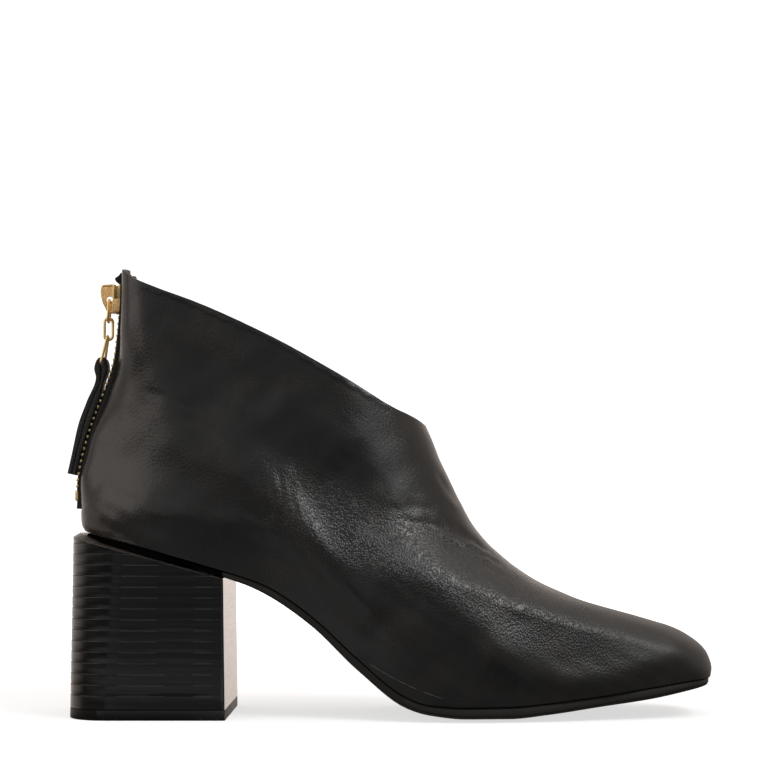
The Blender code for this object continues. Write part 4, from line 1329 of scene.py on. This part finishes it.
class BOOTIE_OT_soles(bpy.types.Operator):
    """Make the outsole and the insole"""

    bl_idname = "bootie.soles"
    bl_label = "Outsole and insole"

    def execute(self, context):
        look = context.scene.bootie_finishes
        self.make_outsole(look)
        self.make_insole(look)
        return {"FINISHED"}

    def make_outsole(self, look):
        def inset_at(x):
            into_seat = np.clip((BREAST_X - x) / SEAT_BLEND, 0.0, 1.0)
            return OUTSOLE_INSET + (SEAT_INSET - OUTSOLE_INSET) * into_seat

        def section(x, half):
            top, tread, roll = sole(x, "feather") - GAP, sole(x, "tread"), sole(x, "roll")
            drawn = min(OUTSOLE_ROUND, EDGE_LIMIT * half) / max(half, LEAST_HALF)
            under = [(share, tread + roll * (max(share - TREAD_SHARE, 0.0) / (1 - TREAD_SHARE)) ** 2)
                     for share in np.linspace(0.0, 1.0 - drawn, OUTSOLE_POINTS)]
            low = under[-1][1]
            height = min(OUTSOLE_ROUND, EDGE_LIMIT * (top - low))
            bend = [(1.0 - drawn + drawn * math.sin(turn), low + height * (1 - math.cos(turn)))
                    for turn in quarter_turn(OUTSOLE_ROUND_STEPS)[1:]]
            lip = [(1.0, top - OUTSOLE_LIP), (1.0 - CORNER_CUT * drawn, top)]
            return under + bend + lip

        first, last = HEEL_END.x + SEAT_INSET + END_FLAT, TOE_END.x - OUTSOLE_INSET - END_FLAT
        kept = [row.x for row in SOLE if row.name in KEPT_STATIONS]
        mesh = plate_mesh(stations_between(first, last, OUTSOLE_STATIONS, kept), inset_at, section)
        # Faces behind the breast get a dull, nearly black finish without gloss: painted shade for the crevice
        # between the heel and the upper
        for face in mesh.polygons:
            face.material_index = int(face.center.x < BREAST_X * MM)
        resin = moulded_finish("outsole_resin", look.sole, look.leather_worn, 0.48, SOLE_TEXTURE, 0.3)
        seat = moulded_finish("outsole_seat", look.stain, look.lacquer, 0.9, SOLE_TEXTURE, 0.0)
        add_piece("outsole_resin", mesh, (resin, seat), ("outsole",))

    def make_insole(self, look):
        def section(x, half):
            half = max(half, LEAST_HALF)
            top = sole(x, "feather") + INSOLE_THICK
            drawn = min(INSOLE_ROUND / half, EDGE_LIMIT)
            line = 1.0 - min(GROOVE_FROM_EDGE / half, GROOVE_PLACE_LIMIT)
            width = min(GROOVE_HALF / half, GROOVE_HALF_LIMIT)
            shares = {*np.linspace(0.0, 1.0 - drawn, INSOLE_POINTS), line - width, line, line + width}
            face = [(share, top - GROOVE_DEPTH * math.exp(-((share - line) / (GROOVE_SHARP * width)) ** 2))
                    for share in sorted(shares)]
            edge = [(1.0 - CORNER_CUT * drawn, top - CORNER_CUT * INSOLE_ROUND), (1.0, top - INSOLE_ROUND),
                    (1.0, top - INSOLE_THICK)]
            return face + edge

        first, last = HEEL_END.x + INSOLE_INSET + END_FLAT, TOE_END.x - INSOLE_INSET - END_FLAT
        mesh = plate_mesh(stations_between(first, last, INSOLE_STATIONS), lambda x: INSOLE_INSET, section)
        leather = leather_finish("insole_leather", look, look.insole, look.lining, 1.3, 0.52)
        add_piece("insole_leather", mesh, (leather,), ("insole",))


class BOOTIE_OT_heel(bpy.types.Operator):
    """Make the stacked heel block and its rubber top piece"""

    bl_idname = "bootie.heel"
    bl_label = "Heel"

    def execute(self, context):
        look, heel = context.scene.bootie_finishes, context.scene.bootie_heel
        mesh = self.make_stack(heel.pitch / MM, heel.ledge / MM)
        self.cut_seat(mesh)
        # The seat inside the rim gets a dull dark finish without gloss: painted shade where the heel's top
        # meets the sole
        seat_painted_shade = moulded_finish("heel_seat", look.lacquer, look.rubber, 0.9, HEEL_TEXTURE, 0.0)
        lacquer = lacquer_finish(look, heel)
        add_piece("heel_stack", mesh, (lacquer, seat_painted_shade), ("heel_block",), sharp=10.0)
        self.make_top_piece(look)
        return {"FINISHED"}

    def make_stack(self, pitch, ledge):
        """The block up to its highest point, with one profile for each lift."""
        foot = TOP_PIECE_THICK + GAP
        first = foot + FIRST_LIFT + pitch
        rings = [heel_ring(foot - FOOT_DROP, FOOT_INSET), heel_ring(foot)]
        for line in range(STACK_LINES):
            rings.extend(self.lift_ring(first + (line + share) * pitch, ledge * back) for share, back in LIFT)
        rings.append(heel_ring(HEEL_TOP["z"]))
        return Shape().rings([ring for ring in rings if ring[0][2] <= HEEL_TOP["z"]]).mesh()

    def lift_ring(self, z, back):
        """The heel's outline at one height of a lift, stood back as far as wear has left it."""
        full, drawn = np.array(heel_ring(z)), np.array(heel_ring(z, back))
        share = np.interp(full[:, 0], column(LIFT_WEAR, "x"), column(LIFT_WEAR, "share"))
        return [tuple(point) for point in full + (drawn - full) * share[:, None]]

    def cut_seat(self, mesh):
        """Cuts the block on the sole's slant, and raises a round rim behind the upper."""
        with editing(mesh) as work:
            cut = bmesh.ops.bisect_plane(
                work, geom=work.verts[:] + work.edges[:] + work.faces[:], dist=CUT_MERGE,
                plane_co=(HEEL_TOP["breast"] * MM, 0.0, HEEL_TOP_AT_BREAST * MM),
                plane_no=(HEEL_TOP_SLOPE, 0.0, 1.0), clear_outer=True)
            rim = [edge for edge in cut["geom_cut"] if isinstance(edge, bmesh.types.BMEdge)]
            seat = bmesh.ops.contextual_create(work, geom=rim)["faces"]
            rim_verts = {vert for edge in rim for vert in edge.verts}
            bmesh.ops.inset_region(work, faces=seat, thickness=RIM_WIDTH * MM)
            # The seat's faces take the dull finish, painted shade under the sole
            for face in work.faces:
                if face.normal.z > SEAT_FACING and rim_verts.isdisjoint(face.verts):
                    face.material_index = 1
            for vert in rim_verts:
                vert.co.z += RIM_RISE * MM * float(fade(-vert.co.x / MM, *RIM_FADE))
            bmesh.ops.bevel(work, geom=rim, offset=RIM_ROUND * MM, segments=2, profile=0.5, affect="EDGES")

    def make_top_piece(self, look):
        thick, edge = TOP_PIECE_THICK, TOP_PIECE_ROUND
        rings = [heel_ring(0.0, edge), heel_ring(EDGE_LIMIT * edge, CORNER_CUT * edge), heel_ring(edge),
                 heel_ring(thick - TOP_PIECE_CHAMFER), heel_ring(thick, TOP_PIECE_CHAMFER)]
        rubber = moulded_finish("heel_top_piece", look.stain, look.rubber, 0.3, HEEL_TEXTURE, 0.3)
        mesh = Shape().rings(rings).mesh()
        add_piece("heel_top_piece_rubber", mesh, (rubber,), ("heel_top_piece",))


class BOOTIE_OT_zip(bpy.types.Operator):
    """Make the zip's tape, its two rows of teeth and its bottom stop"""

    bl_idname = "bootie.zip"
    bl_label = "Zip"

    def execute(self, context):
        look, sizes = context.scene.bootie_finishes, context.scene.bootie_zip
        self.make_tape(look)
        gold = gold_finish("zip_gold", look)
        self.make_teeth(sizes, gold)
        self.make_stop(gold)
        return {"FINISHED"}

    def make_tape(self, look):
        rings = []
        slit_foot = BACK_LINE.at(SLIT_FOOT_SHARE)[1]
        for z in np.linspace(slit_foot + TAPE_FOOT_CLEAR, BACK[-1].z - TAPE_TOP_CLEAR, TAPE_RINGS):
            narrow = float(fade(z, *FLANGE_ENDS))
            behind = WALL + TAPE_CLEAR + float(fold_depth(z))
            outer = -behind * (1.0 - narrow) + FLANGE_END_RISE * narrow
            inner = outer - TAPE_THICK
            tape_half = TAPE_HALF + (FLANGE_END_HALF - TAPE_HALF) * narrow
            line = zip_rise(z)
            rib = line - TOOTH_HALF_RISE - GAP + TAPE_LIP * float(fade(z, *LIP_RISES))
            half = [(share * tape_half, inner) for share in FLANGE_SHARES] + [(tape_half, outer)]
            half += [(RIB_HALF + past, outer + over) for past, over in FLANGE_CORNERS]
            half += [(RIB_HALF + past, rib + over) for past, over in RIB_CORNERS]
            half += [(y, rib + over) for y, over in RIB_TOP]
            half += [(y, line + over) for y, over in CORD]
            section = [(0.0, inner), *half, *((-y, rise) for y, rise in half[::-1])]
            rings.append([back_point(z, y, rise) for y, rise in section])
        mesh = Shape().rings(rings).mesh()
        add_piece("zip_tape_woven", mesh, (tape_finish(look),), ("zip_tape",))

    def make_teeth(self, sizes, gold):
        pitch = (TEETH_TO - TEETH_FROM) / sizes.teeth
        shape = Shape()
        for tooth in range(sizes.teeth):
            for side, shift in ((OUTER, 0.5), (INNER, 1.0)):
                z = TEETH_FROM + (tooth + shift) * pitch
                if z < TEETH_TO:
                    shape.rings([self.tooth_ring(z, side, row) for row in TOOTH])
        add_piece("zip_teeth_gold", shape.mesh(), (gold,), ("zip_teeth",))

    def tooth_ring(self, z, side, row):
        """One eight-sided section of a tooth, across the zip."""
        _, place, up, out = back_frame(z)
        middle, tall = (row.low + row.high) / 2.0, (row.high - row.low) / 2.0
        ring = []
        for along, rise in OCTAGON:
            x, height = place + up * along * row.half + out * (zip_rise(z) + middle + rise * tall)
            ring.append((x, -side * row.y, height))
        return ring

    def make_stop(self, gold):
        rings = []
        heights = np.linspace(STOP_FROM, STOP_TO, STOP_RINGS)
        for z in heights:
            end = STOP_END if z in (heights[0], heights[-1]) else 0.0
            low = zip_rise(z) - TOOTH_HALF_RISE + end
            high = zip_rise(z) + TOOTH_HALF_RISE + STOP_PROUD - end
            edge = STOP_HALF - end
            right = [(edge - STOP_FOOT, low), (edge, low + STOP_FOOT), (edge, high - STOP_CHAMFER),
                     (edge - STOP_ROUND, high - STOP_ROUND), (edge - STOP_CHAMFER, high)]
            ring = []
            for y, rise in right + [(-y, rise) for y, rise in right[::-1]]:
                x, _, height = back_point(z, 0.0, rise)
                ring.append((x, y, height))
            rings.append(ring)
        mesh = Shape().rings(rings).mesh()
        add_piece("zip_stop_gold", mesh, (gold,), ("zip_bottom_stop",), sharp=40.0)


class BOOTIE_OT_slider(bpy.types.Operator):
    """Make the zip's slider: rimmed plate with a granular bed and an eye, on a channelled body"""

    bl_idname = "bootie.slider"
    bl_label = "Slider"

    def execute(self, context):
        look = context.scene.bootie_finishes
        shape = Shape()
        self.add_plate(shape)
        self.add_body(shape)
        finishes = gold_finish("slider_gold", look), gold_finish("slider_bed_gold", look, granular=True)
        add_piece("zip_slider_gold", shape.mesh(), finishes, ("zip_slider",), sharp=40.0)
        return {"FINISHED"}

    def add_plate(self, shape):
        """The plate's granular bed, its rim, and the collar round its eye."""
        outline = round_outline(SLIDER_PLATE, SLIDER_CORNER, SLIDER_CORNER_STEPS)
        eye_centre = (PULL_AXIS[0], PULL_AXIS[1] + EYE_LIFT)
        bed = outline + inward(outline) * BED_INSET
        eye = circle(eye_centre, EYE_RADIUS + EYE_CLEAR, EYE_POINTS)
        shape.add(*filled_plate(bed.tolist(), eye.tolist(), SLIDER_PLATE_HALF - BED_DROP), finish=1)
        half, rim = SLIDER_PLATE_HALF, SLIDER_RIM
        section = [(0.0, 0.2 - half), (0.0, half - 0.3), (0.08, half - 0.1), (0.25, half), (rim - 0.25, half),
                   (rim - 0.06, half - 0.1), (rim, half - 0.3), (rim, 0.3 - half), (rim - 0.06, 0.1 - half),
                   (rim - 0.25, -half), (0.25, -half), (0.08, 0.1 - half)]
        shape.rings(band_rings(outline, section), closed=True)
        ring = circle(eye_centre, EYE_RADIUS + EYE_COLLAR_WIDTH, EYE_COLLAR_POINTS)
        shape.rings(band_rings(ring, EYE_COLLAR), closed=True)

    def add_body(self, shape):
        """Front plate, two cheeks, the post between them and the back plate."""
        front, back = SLIDER_BODY_X
        foot, top = SLIDER_BODY_Z
        wide, inside, cheek_top = SLIDER_BODY_HALF, front + CHEEK_FROM, foot + CHEEK_TALL
        blocks = (
            ((front, -wide, foot), (front + FRONT_PLATE, wide, top), PLATE_EDGE, 0),
            ((inside, -wide, foot), (back, CHEEK_THICK - wide, cheek_top), CHEEK_EDGE, 1),
            ((inside, wide - CHEEK_THICK, foot), (back, wide, cheek_top), CHEEK_EDGE, 1),
            ((inside, -POST_HALF, foot + POST_FOOT), (back, POST_HALF, top - POST_DROP), PLATE_EDGE, 0),
            ((back - BACK_PLATE, -wide, top - BACK_PLATE_TALL), (back, wide, top), CHEEK_EDGE, 0),
        )
        for low, high, edge, finish in blocks:
            shape.add(*block(low, high, edge), finish)


class BOOTIE_OT_pull(bpy.types.Operator):
    """Make the three links of the pull and its folded leather strap"""

    bl_idname = "bootie.pull"
    bl_label = "Pull"

    def execute(self, context):
        look, sizes = context.scene.bootie_finishes, context.scene.bootie_zip
        gold = gold_finish("pull_gold", look)
        narrow, ring, wide = LINK_1_HALF, LINK_2_HALF, LINK_3_END_HALF
        loops = (
            wire_loop(PULL_AXIS, LINK_1_END, narrow, narrow, LINK_BEND, narrow, True),
            wire_loop(LINK_2_TOP, LINK_2_END, ring, ring, ring, ring, False),
            wire_loop(LINK_3_TOP, TAB_AXIS, LINK_3_TOP_HALF, wide, LINK_3_TOP_HALF, LINK_BEND, True),
        )
        for number, points in enumerate(loops, 1):
            mesh = Shape().rings(tube_rings(points, sizes.wire / MM), closed=True).mesh()
            add_piece(f"pull_link_{number}_gold", mesh, (gold,), (f"pull_link_{number}",),
                      "pull_chain", 60.0)
        self.make_strap(look, sizes)
        return {"FINISHED"}

    def make_strap(self, look, sizes):
        rows = np.array([row[1:] for row in STRAP])
        middle = (rows[:, :2] + rows[:, 2:]) / 2.0
        knots = np.concatenate([[0.0], np.cumsum(np.hypot(*np.diff(middle, axis=0).T))])
        edge, half = sizes.strap_edge / MM, TAB_HALF
        rings = []
        for row in smooth(np.linspace(0.0, knots[-1], STRAP_RINGS), knots, rows):
            outer, inner = row[:2], row[2:]
            cut = edge / np.hypot(*(outer - inner))
            nick, corner = CORNER_CUT * cut, half - CORNER_CUT * edge
            corners = [(0.0, half - edge), (nick, corner), (cut, half), (0.5, half), (1 - cut, half),
                       (1 - nick, corner), (1.0, half - edge), (1.0, 0.0)]
            ring = []
            for share, y in corners + [(share, -y) for share, y in corners[-2::-1]] + [(0.0, 0.0)]:
                x, z = inner + (outer - inner) * share
                ring.append((x, y, z))
            rings.append(ring)
        leather = leather_finish("pull_leather", look, look.leather, look.leather_worn, 0.9, 0.5)
        mesh = Shape().rings(rings).mesh()
        add_piece("pull_tab_leather", mesh, (leather,), ("pull_tab",), "pull_strap")


class BOOTIE_OT_studio(bpy.types.Operator):
    """Set the camera, the paper floor and the lights"""

    bl_idname = "bootie.studio"
    bl_label = "Studio"

    def execute(self, context):
        scene, sizes = context.scene, context.scene.bootie_studio
        camera = bpy.data.objects.new("camera", bpy.data.cameras.new("camera"))
        camera.location = [value * MM for value in CAMERA_PLACE]
        camera.rotation_euler = (math.radians(90.0 + CAMERA_PITCH), 0.0, 0.0)
        camera.data.lens = CAMERA_LENS
        camera.data.clip_start = CAMERA_CLIP * MM
        scene.collection.objects.link(camera)
        scene.camera = camera
        scene.view_settings.view_transform = "Standard"
        self.make_floor(scene, sizes)
        for lamp in LAMPS:
            self.make_light(scene, lamp, getattr(sizes, lamp.name), sizes.warmth if lamp.warm else WHITE)
        self.make_sky(scene, sizes)
        return {"FINISHED"}

    def make_floor(self, scene, sizes):
        corners = [(FLOOR_REACH * x, FLOOR_REACH * y, 0.0) for x, y in ((-1, -1), (1, -1), (1, 1), (-1, 1))]
        mesh = bpy.data.meshes.new("floor")
        mesh.from_pydata(corners, [], [(0, 1, 2, 3)])
        constants = {"Roughness": 0.9, "Specular IOR Level": 0.0, "Emission Strength": sizes.glow}
        paper = Finish("floor_paper", constants)
        shade = tuple(PAPER_SHADE * value for value in sizes.floor)
        paper.set("Base Color", paper.blend(sizes.floor, shade, paper.noise(PAPER_CLOUD)))
        far = paper.node("ShaderNodeVectorMath", {"operation": "LENGTH"}, (paper.place,), "Value")
        paper.set("Emission Color", paper.blend(WHITE, GLOW_FAR, paper.between(far, *GLOW_GROWS)))
        mesh.materials.append(paper.material)
        floor = bpy.data.objects.new("floor", mesh)
        floor.visible_glossy = False
        floor.visible_diffuse = False
        scene.collection.objects.link(floor)

    def make_light(self, scene, lamp, power, tint):
        made = bpy.data.lights.new(lamp.name, "AREA")
        made.shape = "RECTANGLE"
        made.size, made.size_y = lamp.size
        made.energy = power
        made.color = tint
        light = bpy.data.objects.new(lamp.name, made)
        light.visible_camera = False
        light.location = lamp.place
        way = np.asarray(lamp.aim, float) - np.asarray(lamp.place, float)
        flat = math.hypot(way[0], way[1])
        light.rotation_euler = (math.atan2(flat, -way[2]), 0.0, math.atan2(-way[0], way[1]))
        scene.collection.objects.link(light)

    def make_sky(self, scene, sizes):
        """White behind the shoe and overhead, dim on the camera's side, and plain white as a backdrop."""
        world = bpy.data.worlds.new("sky")
        world.use_nodes = True
        scene.world = world
        world.node_tree.nodes.clear()
        sky = Graph(world.node_tree)
        x, y, z = sky.axes(sky.node("ShaderNodeTexCoord", output="Generated"))
        at = sky.ramps(SKY, x=x, y=y, z=z, slant=z - THROAT_SLOPE * x)
        notch = at.notch_foot * at.notch_top * at.notch_side
        front = sky.between(z, *FRONT_LOW, FRONT_DUSK, sizes.front) * (1.0 - notch)
        front = front + sky.between(z, *FRONT_HIGH, 0.0, sizes.front)
        front = front + at.heel_glow * (at.above_foot * at.above_top + at.below_top * at.below_foot)
        front = front + at.toe_glow * at.toe_glow_top
        front = front + at.low_foot * at.low_top * (at.strip_back * at.strip_front + at.low_glow)
        behind = sky.between(z, *BEHIND_LOW, BEHIND_DUSK, sizes.behind) * at.behind_top
        for shade in (at.gap_top * at.gap_side, at.side_foot * at.side_back, at.throat_top * at.throat_back):
            behind = behind * (1.0 - shade)
        seen = sky.node("ShaderNodeLightPath", output="Is Camera Ray")
        colour = sky.blend(sky.blend(WHITE, sizes.warmth, at.turned), WHITE, seen)
        studio = front * (1.0 - at.turned) + behind * at.turned
        strength = studio * (1.0 - seen) + BACKDROP * seen
        backdrop = sky.node("ShaderNodeBackground", {}, {"Color": colour, "Strength": strength})
        sky.node("ShaderNodeOutputWorld", {}, {"Surface": backdrop})


class BOOTIE_PT_sidebar(bpy.types.Panel):
    """Lists what the bootie is made of"""

    bl_idname = "BOOTIE_PT_sidebar"
    bl_label = "Ankle bootie"
    bl_space_type = "VIEW_3D"
    bl_region_type = "UI"
    bl_category = "Bootie"

    def draw(self, context):
        for group in GROUPS:
            box = self.layout.box()
            sizes = getattr(context.scene, group)
            for name in sizes.bl_rna.properties.keys():
                if name not in ("rna_type", "name"):
                    box.prop(sizes, name)
        for maker in MAKERS:
            self.layout.operator(maker.bl_idname)


GROUPS = {
    "bootie_finishes": BootieFinishes,
    "bootie_upper": BootieUpper,
    "bootie_heel": BootieHeel,
    "bootie_zip": BootieZip,
    "bootie_studio": BootieStudio,
}
MAKERS = (BOOTIE_OT_studio, BOOTIE_OT_upper, BOOTIE_OT_soles, BOOTIE_OT_heel, BOOTIE_OT_zip, BOOTIE_OT_slider,
          BOOTIE_OT_pull)


def register():
    for made in (*GROUPS.values(), *MAKERS, BOOTIE_PT_sidebar):
        bpy.utils.register_class(made)
    for name, group in GROUPS.items():
        setattr(bpy.types.Scene, name, PointerProperty(type=group))


def unregister():
    for name in GROUPS:
        delattr(bpy.types.Scene, name)
    for made in (BOOTIE_PT_sidebar, *MAKERS[::-1], *GROUPS.values()):
        bpy.utils.unregister_class(made)


def main():
    register()
    bpy.ops.bootie.studio()
    bpy.ops.bootie.upper()
    bpy.ops.bootie.soles()
    bpy.ops.bootie.heel()
    bpy.ops.bootie.zip()
    bpy.ops.bootie.slider()
    bpy.ops.bootie.pull()


if __name__ == "__main__":
    main()
